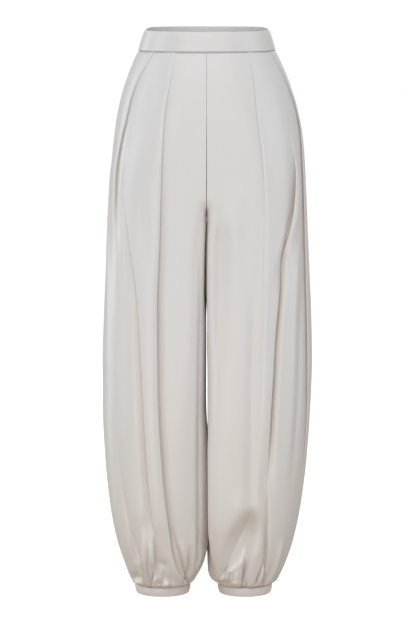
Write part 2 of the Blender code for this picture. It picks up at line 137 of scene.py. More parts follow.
# right, left: how far out each leg reaches. right_in, left_in: where its inner edge is.
# front, back: its depth. round: how square its corners are on the outer side, where 2 is an ellipse.
# right_round, left_round: the same on the inner side of each leg.
SECTION_COLUMNS = (
    "z", "right", "right_in", "left", "left_in", "front", "back", "round", "right_round", "left_round",
)
SECTIONS = [
    (-12.5, 122, 0, 124, 0, 93, 94, 2.4, 2.4, 2.4),
    (-31, 131, 0, 133, 0, 97, 99, 2.4, 3.2, 3.2),
    (-53, 140, 0, 143, 0, 101, 106, 2.4, 4.2, 4.2),
    (-96, 154, 0, 158, 0, 106, 118, 2.4, 6.5, 6.5),
    (-140, 163, 0, 168, 0, 109, 126, 2.4, 9, 9),
    (-205, 171, 0, 177, 0, 112, 131, 2.4, 12, 12),
    (-270, 176, 0, 181, 0, 114, 131, 2.4, 12, 12),
    (-314, 179, 0, 183, 0, 115, 129, 2.4, 12, 12),
    (-402, 183, 0.5, 187, 1.5, 117, 126, 2.4, 10, 12),
    (-490, 187, 0.5, 191, 2.2, 118, 124, 2.4, 8, 12),
    (-579, 190, 0.5, 193, 2.8, 118, 122, 2.4, 6, 11),
    (-668, 190, 0.5, 190, 2.2, 116, 119, 2.4, 4.8, 10),
    (-758, 186, 0.5, 184, 1.2, 110, 113, 2.4, 4.2, 9),
    (-848, 177, 0.5, 173, 1, 100, 103, 2.4, 3.8, 7.5),
    (-915, 164, 1.5, 159, 1, 86, 89, 2.35, 3.3, 5),
    (-953, 151, 7, 146, 2.5, 73, 76, 2.25, 2.8, 3.6),
    (-976, 142, 17, 135, 5, 61, 64, 2.15, 2.3, 2.6),
    (-988, 136, 25, 127, 14, 52, 55, 2.1, 2.1, 2.2),
    (-995, 133, 29, 122, 20, 46, 49, 2.1, 2.1, 2.1),
]


def power(value, exponent):
    """A power that keeps the sign of its base."""
    return np.sign(value) * np.abs(value) ** exponent


def outline(side, face, z):
    """The plain outline of one panel at each height z, from its inner edge to the side seam.

    From the middle line out: across = half width times cos(angle) to the power 2 / roundness, and depth =
    full depth times sin(angle) to the same power. On the inner part the depth is full depth times (1 - bend
    times cos(angle) squared) to the power 1 / roundness. bend goes from 0 at the hips to 1 at the crotch, in
    such a way that the inner edge follows a quarter circle. Returns the distances along each outline, its x
    and y and the x and y of its outward direction.
    """
    z = np.asarray(z, float)
    outer, inner, depth, round_out, round_in = (
        rounded_column(SECTIONS, SECTION_COLUMNS.index(name), z)[:, None]
        for name in (side, f"{side}_in", face, "round", f"{side}_round")
    )
    facing = 1 if face == "back" else -1
    depth = depth - facing * MIDDLE_Y
    below_waist = smooth_step((SECTIONS[0][0] - z[:, None]) / (SECTIONS[0][0] - HIP_Z))
    middle = (outer + inner) / 2 * below_waist
    above = np.clip((z[:, None] - CROTCH_Z) / CROTCH_RISE, 0, 1)
    bend = 1 - (above * (2 - above)) ** (round_in / 2)
    angle = np.linspace(np.pi, 0, OUTLINE_POINTS)
    on_inner = angle > np.pi / 2
    cos, sin = np.abs(np.cos(angle)), np.sin(angle)
    curve = 2 / np.where(on_inner, round_in, round_out)
    half = np.where(on_inner, np.maximum(middle - inner, SMALLEST_HALF), outer - middle)
    x = middle + np.where(on_inner, -half, half) * cos**curve
    flat = np.where(on_inner, 1 - bend * cos**2, sin**2)
    y = depth * flat ** (curve / 2)
    out_x = np.where(on_inner, -bend, 1) * cos ** (2 - curve) / half
    out_y = flat ** (1 - curve / 2) / depth
    length = np.hypot(out_x, out_y)
    steps = np.hypot(np.diff(x, axis=1), np.diff(y, axis=1))
    along = np.hstack([np.zeros((len(z), 1)), np.cumsum(steps, axis=1)])
    return along, x, MIDDLE_Y + facing * y, out_x / length, facing * out_y / length


FULLEST_Z = -600.0
girth = sum(outline("left", face, [FULLEST_Z])[0][0, -1] for face in ("front", "back"))
print(f"the fullest part of a leg is {girth:.0f} mm round")

# %% [markdown]
# ## Pleats
# A pleat is cloth folded over itself and caught in the waist seam. Below the seam it opens, but satin keeps
# the fold as a soft edge with one layer lying over the other. Each line below follows one such edge down the
# leg. outer and inner say how far the cloth stands out on each side of the edge, and lap how far one layer
# lies over the other: more than 0 where the outer layer is on top, and less where the inner one is.

# %% pleat lines
# z, x, outer, inner, lap.
FRONT_PLEATS = {
    "right": [
        [
            (-12, 54, 1, 0, 0.9), (-62, 63, 1.7, -0.4, 1.7), (-132, 74, 2.4, -1, 2.8),
            (-221, 79, 3.4, -1.8, 4), (-346, 83, 4.8, -3.4, 5), (-474, 88, 5.8, -5, 6),
            (-617, 87, 6.4, -6.2, 6), (-761, 80, 6.6, -6.8, 6), (-859, 70, 6.4, -6.6, 5),
            (-882, 66.5, 6.2, -6.4, 5), (-915, 62.5, 5.8, -6, 4), (-947, 55.5, 5, -5.4, 3),
            (-966, 49, 3.4, -3.6, 2), (-982, 42, 1.6, -2, 1), (-995, 40, 0, 0, 0),
        ],
        [
            (-12, 72, 0, 0, 0), (-100, 105, 0, 0, 0), (-150, 128, 0, 0, 0), (-190, 142, -0.4, 0.6, 0),
            (-275, 147, -2.4, 2.2, -2), (-346, 138, -3.4, 3, -4), (-459, 123, -4.2, 3.4, -5),
            (-584, 116, -5.4, 4.2, -6), (-668, 112, -6, 4.6, -6), (-761, 107, -6.2, 4.8, -6),
            (-859, 98, -3.5, 3, -3), (-885, 96, 0.5, -0.5, 0),
            (-912, 95, 3.5, -4, 3), (-938, 94, 4, -4.5, 3), (-962, 93, 2, -2, 1), (-995, 90, 0, 0, 0),
        ],
        [
            (-12, 91, 1, 0, 0.9), (-64, 121, 1.6, -0.5, 1.6), (-99, 134, 2, -0.9, 2.2),
            (-135, 142, 2.2, -1.2, 2.8), (-171, 151, 2.6, -1.6, 3), (-243, 162, 2.8, -3.2, 3),
            (-315, 164, 1.5, -2.6, 1), (-380, 160, 0, -1, 0), (-480, 160, 0, 0, 0), (-760, 158, 0, 0, 0),
            (-995, 124, 0, 0, 0),
        ],
    ],
    "left": [
        [
            (-12, 73, 1, 0, 0.9), (-55, 82, 1.4, -0.4, 1.5), (-127, 89, 1.9, -0.8, 2.2),
            (-209, 99, 2.3, -1, 2.4), (-300, 103, 2.2, -1, 1), (-364, 101, 2, -0.8, 0),
            (-474, 101, 1.5, -0.4, 0), (-617, 98, 0.9, 0, 0), (-760, 92, 0.3, 0, 0), (-850, 84, 0, 0, 0),
            (-995, 58, 0, 0, 0),
        ],
        [
            (-12, 92, 0, 0, 0), (-100, 134, 0, 0, 0), (-150, 148, 0, 0, 0), (-190, 155, 1.2, -0.8, 1),
            (-239, 159, 3, -4.5, 4), (-293, 156, 3.5, -7, 6), (-340, 149, 1, -8, 4), (-380, 141, -4, -6.5, 1),
            (-415, 135, -8.5, -2.5, -2), (-460, 128, -9.5, 0.5, -5), (-520, 123, -10, 1.8, -6),
            (-599, 119, -10.5, 2.4, -7), (-668, 115, -10.5, 2, -7), (-740, 112.5, -7, -1.5, -4),
            (-792, 111, -3, -5, 0), (-866, 111, 0, -8, 3), (-905, 111, 1.5, -9, 4), (-942, 109, 0, -6, 3),
            (-965, 104, -1, -1, 0), (-995, 92, 0, 0, 0),
        ],
        [
            (-12, 112, 1, 0, 0.9), (-46, 132, 1.6, -0.4, 1.5), (-80, 147, 2, -0.8, 2),
            (-114, 159, 2.2, -1.2, 2.5), (-171, 169, 3, -1.8, 4), (-306, 174, 3.4, -2.4, 4),
            (-405, 177, 3.2, -2.4, 4), (-520, 180, 3, -2.2, 4), (-640, 181, 3, -2, 3),
            (-740, 177, 2, -1.4, 2), (-850, 166, 0, 0, 0), (-995, 114, 0, 0, 0),
        ],
    ],
}
BACK_PLEATS = [
    [
        (-12, 48, 1.2, 0, 1), (-60, 55, 2, -0.4, 2), (-130, 64, 2.8, -1.2, 3.2), (-270, 72, 4, -2.4, 4.5),
        (-450, 78, 4.6, -3.6, 5), (-650, 78, 4.8, -4.4, 5), (-800, 72, 4.2, -4.2, 4), (-900, 64, 3, -3, 3),
        (-960, 56, 1, -1, 0), (-995, 54, 0, 0, 0),
    ],
    [
        (-12, 84, 1.2, 0, 1), (-60, 102, 2, -0.4, 2), (-130, 124, 2.8, -1.2, 3), (-230, 138, 3, -2.4, 3),
        (-380, 140, 1, -0.8, 0), (-470, 136, -2.6, 2, -2), (-600, 130, -4, 3, -4), (-760, 122, -4, 3, -4),
        (-880, 110, -2.4, 2, -2), (-950, 102, 0, 0, 0), (-995, 98, 0, 0, 0),
    ],
]
PLEAT_HALF_WIDTH = 3.0
PLEAT_REACH_HIGH = 36.0
PLEAT_REACH_LOW = 22.0
# The wave across a pleat's step peaks at 0.65. This makes its widest shift as large as the lap.
LAP_SCALE = 1.57


def swell(distance, reach):
    """1 at and before 0, falling along half a cosine wave to 0 at the reach."""
    return 0.5 + 0.5 * np.cos(np.pi * np.clip(distance / reach, 0, 1))


def pleat(table, line, z, at):
    """How far one pleat lifts the cloth and shifts it sideways at the places `at` along the outline.

    Lift: the inner height before the line and the outer one after it, joined by a smooth step, and both fall
    away from the line. Shift: a sine wave across the step, so that one layer runs in under the other.
    """
    outer, inner, lap = (rounded_column(table, column, z)[:, None] for column in (2, 3, 4))
    d = at - line[:, None]
    t = np.clip(d / (2 * PLEAT_HALF_WIDTH) + 0.5, 0, 1)
    step = smooth_step(t)
    reach_out = np.where(outer > 0, PLEAT_REACH_HIGH, PLEAT_REACH_LOW)
    reach_in = np.where(inner > 0, PLEAT_REACH_HIGH, PLEAT_REACH_LOW)
    lift = (1 - step) * inner * swell(-d, reach_in) + step * outer * swell(d, reach_out)
    shift = -np.abs(lap) * LAP_SCALE * np.sin(2 * np.pi * (t - 0.5)) * np.sin(np.pi * t) ** 2
    return lift, shift


print("fold lines on a front panel:", len(FRONT_PLEATS["right"]), " on a back panel:", len(BACK_PLEATS))

# %% [markdown]
# ## Soft folds
# Between the pleats the cloth falls in long soft folds, no two alike. Each is a ridge or a trough with its
# own path, height and softness on either side. They are placed one by one, as a draper would push them in
# with a hand, because a regular wave looks like corrugated board.

# %% soft folds
# z, x, height, inner softness, outer softness. A height under 0 is a trough.
SOFT_FOLDS = {
    "front_right": [
        [(-60, 150, 0, 10, 10), (-150, 168, 1.5, 10, 14), (-400, 178, 2, 12, 20), (-620, 178, 0, 14, 20)],
        [(-380, 20, 0, 14, 14), (-520, 16, 2, 10, 14), (-820, 18, 2, 10, 14), (-940, 30, 0, 10, 12)],
        [(-640, 168, 0, 14, 9), (-760, 158, -3, 14, 8), (-900, 138, -5, 12, 7), (-985, 118, 0, 8, 5)],
        [(-840, 148, 0, 8, 8), (-905, 142, 4, 6, 8), (-975, 118, 0, 5, 6)],
        [(-880, 134, 0, 5, 5), (-910, 129, -3.5, 5, 4), (-957, 115, -6, 4, 3), (-981, 113, -4, 3, 3),
         (-990, 112, 0, 2, 2)],
        [(-870, 116, 0, 6, 6), (-905, 112, 5.5, 5, 6), (-950, 109, 8, 5, 5), (-978, 107, 6, 4, 4),
         (-990, 105, 1, 3, 3)],
        [(-905, 106, 0, 2, 2), (-925, 106, -4, 2, 2), (-975, 104.5, -6, 2, 2), (-990, 104, -2, 2, 2)],
        [(-900, 101, 0, 4, 4), (-930, 100, 4, 3.5, 3), (-960, 99, 4, 3, 3), (-975, 98, 0, 3, 3)],
        [(-940, 98, 0, 2, 2), (-955, 98, -5, 2.5, 2), (-972, 97, -5, 2.5, 2), (-985, 96, 0, 2, 2)],
        [(-885, 58, 0, 3, 2.5), (-905, 55, -4, 3, 2.2), (-925, 48.5, -6, 3, 2.2), (-964, 39.5, -7, 3, 2.2),
         (-982, 36, -4, 2.5, 2), (-990, 35, 0, 2, 2)],
        [(-905, 31, 0, 2.5, 2.5), (-923, 32, -5, 3, 2.2), (-957, 35.5, -6.5, 3, 2.2),
         (-973, 38, -5.5, 2.5, 2), (-988, 39, 0, 2, 2)],
        [(-890, 44, 0, 4, 4), (-925, 41, 5, 4, 4), (-960, 37.5, 3, 2.5, 2.5), (-975, 37, 0, 2, 2)],
        [(-860, 22, 0, 7, 8), (-920, 24, 5, 5, 6), (-960, 28, 5, 5, 5), (-985, 38, 0, 3, 3)],
        [(-120, 112, 0, 12, 12), (-150, 116, -0.7, 10, 10), (-185, 124, 0, 12, 12)],
        [(-300, 8, 0, 8, 10), (-380, 9, -4, 10, 12), (-470, 9, -6, 10, 13), (-560, 10, -6.5, 8, 13),
         (-668, 11, -6.5, 6, 12), (-760, 13.5, -6, 4, 10), (-860, 14.5, -5.5, 2.5, 7), (-930, 15, -4, 3, 6),
         (-970, 30, 0, 3, 4)],
    ],
    "front_left": [
        [(-282, 22, 0, 9, 12), (-312, 23, -2.5, 10, 13), (-345, 22, -8, 10, 20), (-420, 20, -9, 9, 22),
         (-500, 18, -7, 9, 20), (-640, 16, -4, 8, 16), (-800, 16, 0, 8, 12)],
        [(-300, 152, 0, 5, 5), (-345, 148, -6, 7, 4), (-386, 140, -10, 7, 5), (-430, 133, -8, 5, 7),
         (-480, 127, -4, 4, 7), (-540, 121.5, 0, 3, 6)],
        [(-240, 52, 0, 16, 16), (-330, 50, 2, 18, 14), (-480, 50, 0, 20, 14)],
        [(-260, 112, 0, 10, 10), (-360, 112, 2.5, 10, 9), (-520, 104, 2, 12, 10), (-760, 96, 0, 12, 12)],
        [(-420, 84, 0, 10, 12), (-560, 82, -3, 9, 12), (-780, 80, -3, 10, 12), (-900, 76, 0, 10, 10)],
        [(-330, 168, 0, 8, 8), (-440, 159, 3.5, 9, 8), (-640, 152, 3, 10, 9), (-820, 140, 0, 12, 10)],
        [(-400, 174, 0, 8, 8), (-480, 171, -3.5, 7, 9), (-640, 166, -3.5, 7, 9), (-800, 152, 0, 8, 8)],
        [(-325, 3, 0, 4, 5), (-370, 4, 3, 4, 6), (-480, 4, 3.5, 4, 6), (-668, 4, 2.5, 4, 6),
         (-760, 5, 4, 4, 7), (-860, 6, 5, 4, 8), (-920, 7, 4, 4, 7), (-955, 10, 0, 4, 5)],
        [(-838, 80, 0, 9, 10), (-848, 78, -10, 12, 14), (-866, 74, -20, 16, 19), (-890, 63, -25, 18, 24),
         (-912, 53, -23, 15, 24), (-932, 44, -18, 12, 18), (-950, 35, -12, 8, 8), (-962, 30, -7, 6, 6),
         (-975, 28, 0, 5, 6)],
        [(-905, 74, 0, 5, 8), (-930, 70, -7, 4, 9), (-952, 67, -9, 3.5, 10), (-985, 66, -6, 3, 8)],
        [(-948, 44, 0, 2, 2), (-962, 44, -6, 2, 2), (-978, 43.5, -5, 2, 2), (-988, 43, 0, 2, 2)],
        [(-955, 54, 0, 3, 3), (-972, 55, 4.5, 3, 3), (-988, 55, 0, 3, 3)],
        [(-932, 107, 0, 2.5, 3), (-945, 103, -5, 2.5, 4), (-966, 94.5, -8, 2.5, 4), (-982, 88.5, -7, 2.2, 4),
         (-991, 82, -2, 2, 2)],
        [(-945, 106, 0, 4, 3), (-966, 99.5, 6, 3.5, 2.5), (-982, 94, 5, 3, 2.5), (-990, 91, 0, 2, 2)],
        [(-938, 110, 0, 2, 2), (-950, 108, -4, 2, 2.5), (-973, 104, -6, 2, 2.5), (-986, 101, -4, 2, 2)],
        [(-890, 140, 0, 8, 8), (-930, 130, 6, 9, 6), (-960, 120, 8, 7, 5), (-980, 112, 6, 5, 4),
         (-990, 107, 0, 4, 4)],
    ],
    "back_right": [
        [(-320, 22, 0, 12, 16), (-400, 28, -5, 12, 16), (-540, 38, 0, 14, 18)],
        [(-640, 30, 0, 10, 14), (-780, 34, -5, 9, 14), (-900, 40, -7, 7, 12), (-975, 46, 0, 5, 7)],
        [(-420, 100, 0, 16, 16), (-620, 96, 3, 16, 20), (-860, 84, 0, 14, 16)],
        [(-560, 140, 0, 12, 14), (-740, 132, -3, 12, 14), (-930, 108, 0, 8, 10)],
        [(-700, 58, 0, 12, 12), (-850, 60, -3.5, 10, 12), (-960, 66, 0, 6, 8)],
        [(-840, 36, 0, 10, 10), (-920, 44, 3, 9, 9), (-985, 56, 0, 5, 5)],
        [(-860, 112, 0, 8, 9), (-930, 104, 3.5, 8, 8), (-985, 92, 0, 5, 5)],
    ],
    "back_left": [
        [(-330, 26, 0, 12, 16), (-440, 34, -5, 12, 16), (-600, 46, 0, 14, 18)],
        [(-800, 110, 0, 14, 9), (-850, 100, -9, 16, 9), (-900, 84, -10, 15, 9), (-950, 70, -5, 8, 8),
         (-980, 66, 0, 6, 6)],
        [(-380, 112, 0, 16, 16), (-600, 104, 3, 16, 20), (-840, 88, 0, 14, 16)],
        [(-600, 148, 0, 12, 14), (-780, 134, -3.5, 12, 14), (-940, 104, 0, 8, 10)],
        [(-680, 66, 0, 12, 12), (-840, 62, -3.5, 10, 12), (-955, 56, 0, 6, 8)],
        [(-850, 30, 0, 10, 10), (-925, 36, 3.5, 9, 9), (-985, 46, 0, 5, 5)],
        [(-850, 100, 0, 8, 9), (-925, 92, 3, 8, 8), (-985, 80, 0, 5, 5)],
    ],
}

# z, x, height, how far it reaches up and down, how far it reaches across.
BULGES = {
    "front_right": [
        (-946, 125, 2.0, 8, 8), (-974, 127, -7.5, 8, 8), (-987, 126, 4, 4, 6), (-942, 80, -3.5, 7, 9),
        (-984, 72, 6.5, 7, 11), (-983, 87, -7.0, 7, 5), (-976, 94.5, 5.0, 6, 3.5), (-905, 10, -3.0, 22, 8),
        (-95, 98, -0.9, 14, 8), (-840, 122, 2.0, 26, 14),
    ],
    "front_left": [
        (-956, 44, 6.5, 8, 6), (-971, 41, 8.0, 9, 9), (-982, 52, 5.0, 6, 10), (-984, 31, -5.0, 5, 8),
        (-835, 60, 3.0, 26, 18), (-300, 150, -1.5, 60, 10),
    ],
    "back_right": [
        (-955, 66, 4.5, 9, 10), (-935, 66, -2.5, 9, 10), (-965, 116, -3.5, 7, 8), (-240, 70, 2.0, 60, 40),
    ],
    "back_left": [
        (-958, 92, 4.5, 9, 9), (-936, 92, -2.5, 9, 10), (-968, 40, -3.5, 7, 7), (-240, 74, 2.0, 60, 40),
    ],
}
# A valley's lips move in by up to this share of their distance, within this reach, if it is this deep.
PINCH_PULL, PINCH_REACH, PINCH_DEPTH = 0.3, 5.0, 5.0


def bulge(row, x, z):
    """A round bulge or dent: its height times e to the power of -(distances / reaches) squared."""
    at_z, at_x, height, up, across = row
    return height * np.exp(-(((z[:, None] - at_z) / up) ** 2) - ((x - at_x) / across) ** 2)


def pinch(d, softness):
    """The sideways shift that draws a valley's lips together.

    It is -0.3 distance times e to the power of (1 - distance / softness), and reaches no wider than 5 mm.
    """
    return -PINCH_PULL * d * np.exp(1 - np.abs(d) / np.minimum(softness, PINCH_REACH))


def soft_fold(table, line, z, at):
    """One soft fold: its height times a bell curve, e to the power of -(distance / softness) squared.

    A trough's lips are drawn together as well, so that it looks like a fold and not like a dent.
    """
    height, inner, outer = (rounded_column(table, column, z)[:, None] for column in (2, 3, 4))
    d = at - line[:, None]
    softness = np.where(d < 0, inner, outer)
    return height * bell(d, softness), np.clip(-height / PINCH_DEPTH, 0, 1) * pinch(d, softness)


for name, folds in SOFT_FOLDS.items():
    print(name, "soft folds:", len(folds), " bulges:", len(BULGES[name]))

# %% [markdown]
# ## Gathers
# At the ankle a wide leg is drawn into a narrow cuff. Small tucks form at the seam, most of them a few
# centimetres long, and a few run on and join into larger folds. Each tuck here is a narrow valley with its
# lips drawn together, and it widens and fades as it rises. Between the tucks the cloth puffs out over the
# cuff. Places and lengths come from a seeded random generator, so each run gives the same cloth.

# %% gathers
TUCKS_PER_PANEL = 14
TUCK_SEEDS = {"front_right": 11, "front_left": 23, "back_right": 37, "back_left": 41}
# The shortest and longest, and the shallowest and deepest tuck.
TUCK_LENGTHS, TUCK_DEPTHS = (9, 70), (6.0, 11.0)
# How far a tuck strays from its even place, as a share of a space, and how far its top leans over, as a
# share of the panel. The lean grows over about this height.
TUCK_SCATTER, TUCK_LEAN, LEAN_HEIGHT = 0.36, 0.09, 40
TUCK_WIDTH, TUCK_WIDENING = 2.1, 0.07
# How far below the seam a tuck starts, over what height it grows, and how abruptly it fades and rounds off.
TUCK_START, TUCK_GROWTH, TUCK_FADING, TUCK_ROUNDING = 2, 6, 1.6, 1.3
# How far the cloth puffs out at a panel's edges, how much more in its middle, how high it takes to fade and
# over what height it starts.
PUFF_EDGE, PUFF_MIDDLE, PUFF_HEIGHT, PUFF_START = 4.5, 9.5, 26, 9
# How far the cuff draws the cloth in, and how high that shows.
DRAWN_IN, DRAWN_HEIGHT = 2.4, 3.5


def gathers(name, height, share, length):
    """The tucks of one panel, for heights above the cuff seam and shares of the way to the side seam.

    Each is a valley, -depth times e to the power of -(distance / width) to the power 1.3. Its depth grows
    over the first few millimetres and fades over the tuck's own length, while its width grows with the
    height. The puff is a constant and a squared half sine wave across the panel, times e to the power of
    -height / 26.
    """
    chance = np.random.default_rng(TUCK_SEEDS[name])
    count = TUCKS_PER_PANEL
    places = (np.arange(count) + 0.5 + chance.uniform(-TUCK_SCATTER, TUCK_SCATTER, count)) / count
    lengths = chance.permutation(np.geomspace(*TUCK_LENGTHS, count))
    depths = chance.uniform(*TUCK_DEPTHS, count)
    leans = chance.uniform(-TUCK_LEAN, TUCK_LEAN, count)
    h = np.maximum(height, 0)[:, None]
    grown = smooth_step((h + TUCK_START) / TUCK_GROWTH)
    width = TUCK_WIDTH + TUCK_WIDENING * h
    lift, shift = np.zeros_like(share), np.zeros_like(share)
    for place, reach, depth, lean in zip(places, lengths, depths, leans):
        faded = np.exp(-((h / reach) ** TUCK_FADING))
        centre = place + lean * (1 - np.exp(-h / LEAN_HEIGHT))
        d = (share - centre) * length[:, None]
        lift = lift - depth * grown * faded * np.exp(-((np.abs(d) / width) ** TUCK_ROUNDING))
        shift = shift + grown * faded * pinch(d, width)
    drawn_in = -DRAWN_IN * (1 - smooth_step(h / DRAWN_HEIGHT))
    rounding = PUFF_EDGE + PUFF_MIDDLE * np.sin(np.pi * share) ** 2
    puff = rounding * np.exp(-h / PUFF_HEIGHT) * smooth_step(h / PUFF_START)
    return lift + puff + drawn_in, shift


print("tucks at each ankle:", 2 * TUCKS_PER_PANEL)

# %% [markdown]
# ## A panel's rows and columns
# Each panel is a grid. Its rows lie at chosen heights, closer at the crotch and the cuff, where the cloth
# turns most in the least space. Its columns follow the pleats, so that a fold edge never cuts across a face.

# %% rows and columns
# Above the crotch, down the leg and in the gathers: how many rows, and the power that crowds them together.
ROWS_ABOVE, ROWS_LEG, ROWS_GATHER = 68, 76, 64
CROWD_ABOVE, CROWD_LEG, CROWD_GATHER = 1.6, 1.25, 1.35
GATHER_TOP_Z = -860.0
# From the centre to the side seam: the columns up to a pleat, across its step, up to the next, and so on.
FRONT_COLUMNS = (52, 12, 38, 12, 34, 12, 36)
BACK_COLUMNS = (44, 14, 36, 14, 44)
# How far a panel runs on under the waistband and into the cuff, and how wide the bend at a seam is.
TUCKED_UNDER = 1.2
SEAM_ROLL = 0.8


def panel_heights():
    """Row heights from the waist seam to the cuff seam.

    Each of the three parts has even shares of its height, raised to a power above 1. That crowds the rows
    together at the crotch and at the cuff.
    """
    top, low_end = WAIST_SEAM_Z + TUCKED_UNDER, CUFF_SEAM_Z - TUCKED_UNDER
    above = CROTCH_Z + (top - CROTCH_Z) * np.linspace(1, 0, ROWS_ABOVE, endpoint=False) ** CROWD_ABOVE
    leg = CROTCH_Z + (GATHER_TOP_Z - CROTCH_Z) * np.linspace(0, 1, ROWS_LEG, endpoint=False) ** CROWD_LEG
    gathered = low_end + (GATHER_TOP_Z - low_end) * np.linspace(1, 0, ROWS_GATHER) ** CROWD_GATHER
    return np.concatenate([above, leg, gathered])


def panel_columns(pleat_lines, length, counts):
    """Places along the outline for every row: even steps between knots on each side of every pleat line."""
    knots = [np.full_like(length, SEAM_ROLL)]
    for line in pleat_lines:
        knots += [line - PLEAT_HALF_WIDTH, line + PLEAT_HALF_WIDTH]
    knots = np.stack([*knots, length - SEAM_ROLL], axis=1)
    part = np.repeat(np.arange(len(counts)), counts)
    share = np.concatenate([np.arange(n) / n for n in counts])
    inside = knots[:, part] * (1 - share) + knots[:, part + 1] * share
    return np.hstack([inside, knots[:, -1:]])


print("rows:", len(panel_heights()), " columns in front:", sum(FRONT_COLUMNS), " behind:", sum(BACK_COLUMNS))

# %% [markdown]
# ## Legs that touch
# Full legs rest against each other, and the fuller one pushes the other's soft cloth aside. Both inner sides
# are moved by the same amount here, so they keep touching and never cross.

# %% leaning legs
# z, and how far the two legs lean to the wearer's left where they touch: behind the front edges of the legs.
LEGS_LEAN = [
    (-318, 0), (-345, -2.5), (-385, -4), (-430, -4), (-470, -2), (-500, 0), (-640, 0), (-710, 4), (-780, 8),
    (-900, 8), (-940, 4), (-975, 0),
]
# The shares of the depth at which the lean starts and how fast it rises, then at which it ends and how fast
# it falls.
LEAN_START, LEAN_RISE, LEAN_END, LEAN_FALL, LEAN_REACH = 0.92, 0.26, 0.5, 0.5, 30.0


def legs_lean(x, y, z):
    """How far the cloth moves to the wearer's left, so that one leg's inner side rests against the other's.

    The share of the front's depth tells where: it rises behind the front edge and falls again further back.
    It fades with a bell curve of the distance from the middle.
    """
    share = -y / rounded_column(SECTIONS, SECTION_COLUMNS.index("front"), z)[:, None]
    depth = smooth_step((LEAN_START - share) / LEAN_RISE) * (1 - smooth_step((LEAN_END - share) / LEAN_FALL))
    return rounded_column(LEGS_LEAN, 1, z)[:, None] * depth * bell(x, LEAN_REACH)


print("the legs lean by up to", max(abs(lean) for _, lean in LEGS_LEAN), "mm")

# %% [markdown]
# ## Seams
# Along its long edges the cloth turns in by a seam allowance, as it does in a real seam, and the two
# allowances meet inside, where the stitching would hold them, so that no light leaks between two panels. A
# seam pulls the cloth in a little, which a groove shows, and the centre front seam deepens into a fold on its
# way down.

# %% seams
ALLOWANCE = 7.0
# How deep the four points of a turned-in edge lie, from its cut edge to the seam.
ALLOWANCE_DEPTHS = np.array([[-ALLOWANCE, -ALLOWANCE / 2, -0.4, -0.05]])
SEAM_GAP = 0.3
# How deep and how wide the groove is at a long seam and at the waist seam.
SEAM_SINK, SEAM_SPREAD = 0.8, 2.5
WAIST_GROOVE, WAIST_SPREAD = 1.8, 2.2
EDGE_STEP = 0.1
# z, and how far each panel's edge is from the middle at the centre front seam, which deepens into a fold.
CENTRE_EDGE = [
    (-12, 0.06), (-95, 0.07), (-140, 0.3), (-190, 0.5), (-240, 0.65), (-272, 0.6), (-292, 0.3), (-314, 0.15),
]
# z, and how far the right front stands out at the centre seam, over the left one.
CENTRE_RIDGE = [(-60, 0), (-130, 0.5), (-210, 1.3), (-245, 0.8), (-272, 0)]
RIDGE_SPREAD = 11.0


def seam_relief(name, z, at, length):
    """How far the seams move the cloth: a bell-shaped groove at each, and the right front's ridge."""
    lift = -SEAM_SINK * bell(length[:, None] - at, SEAM_SPREAD)
    if name.startswith("back"):
        lift = lift - SEAM_SINK * bell(at, SEAM_SPREAD)
    lift = lift - WAIST_GROOVE * bell(np.maximum(WAIST_SEAM_Z - z, 0)[:, None], WAIST_SPREAD)
    if name == "front_right":
        lift = lift + rounded_column(CENTRE_RIDGE, 1, z)[:, None] * bell(at, RIDGE_SPREAD)
    return lift


def turn_in(name, z, at, lift, length):
    """Adds a seam allowance to both edges of every row: four points that go straight in from the seam.

    The two deepest move on to the place where the neighbour's allowance is, so that the two meet.
    """
    first, last = np.full((len(z), 1), SEAM_GAP / 2), length[:, None] - SEAM_GAP / 2
    if name.startswith("front"):
        first = rounded_column(CENTRE_EDGE, 1, z)[:, None]
    at = np.maximum(np.hstack([first + EDGE_STEP, at]), first + EDGE_STEP)
    lift = np.hstack([lift[:, :1], lift])
    start = np.hstack([0 * first, 0.5 * first, first, first])
    end = np.hstack([last, last, last, length[:, None]])
    inner, outer = lift[:, :1] + ALLOWANCE_DEPTHS, lift[:, -1:] + ALLOWANCE_DEPTHS[:, ::-1]
    return np.hstack([start, at, end]), np.hstack([inner, lift, outer])


print("seam allowance:", ALLOWANCE, "mm")

# %% [markdown]
# ## One panel
# All of this adds up for one panel. The folds flatten towards the seams, because a sewn edge can't fold.
# Every point is first found along the plain outline, and is then moved outwards by its lift.

# %% one panel
# How far a fold edge lies outside its line, as a share of its lap.
LAP_SHARE = 0.8
# How far from a seam the folds and the tucks have their full size.
FOLD_FADE, TUCK_FADE = 22.0, 6.0


def fold_relief(name, z, at, x, tables, lines, line_of):
    """The lift and the sideways shift that the pleats, the soft folds and the bulges add up to."""
    moves = [pleat(table, line, z, at) for table, line in zip(tables, lines)]
    moves += [soft_fold(table, line_of(table), z, at) for table in SOFT_FOLDS[name]]
    lifts = [up for up, _ in moves] + [bulge(row, x, z) for row in BULGES[name]]
    return sum(lifts), sum(aside for _, aside in moves)


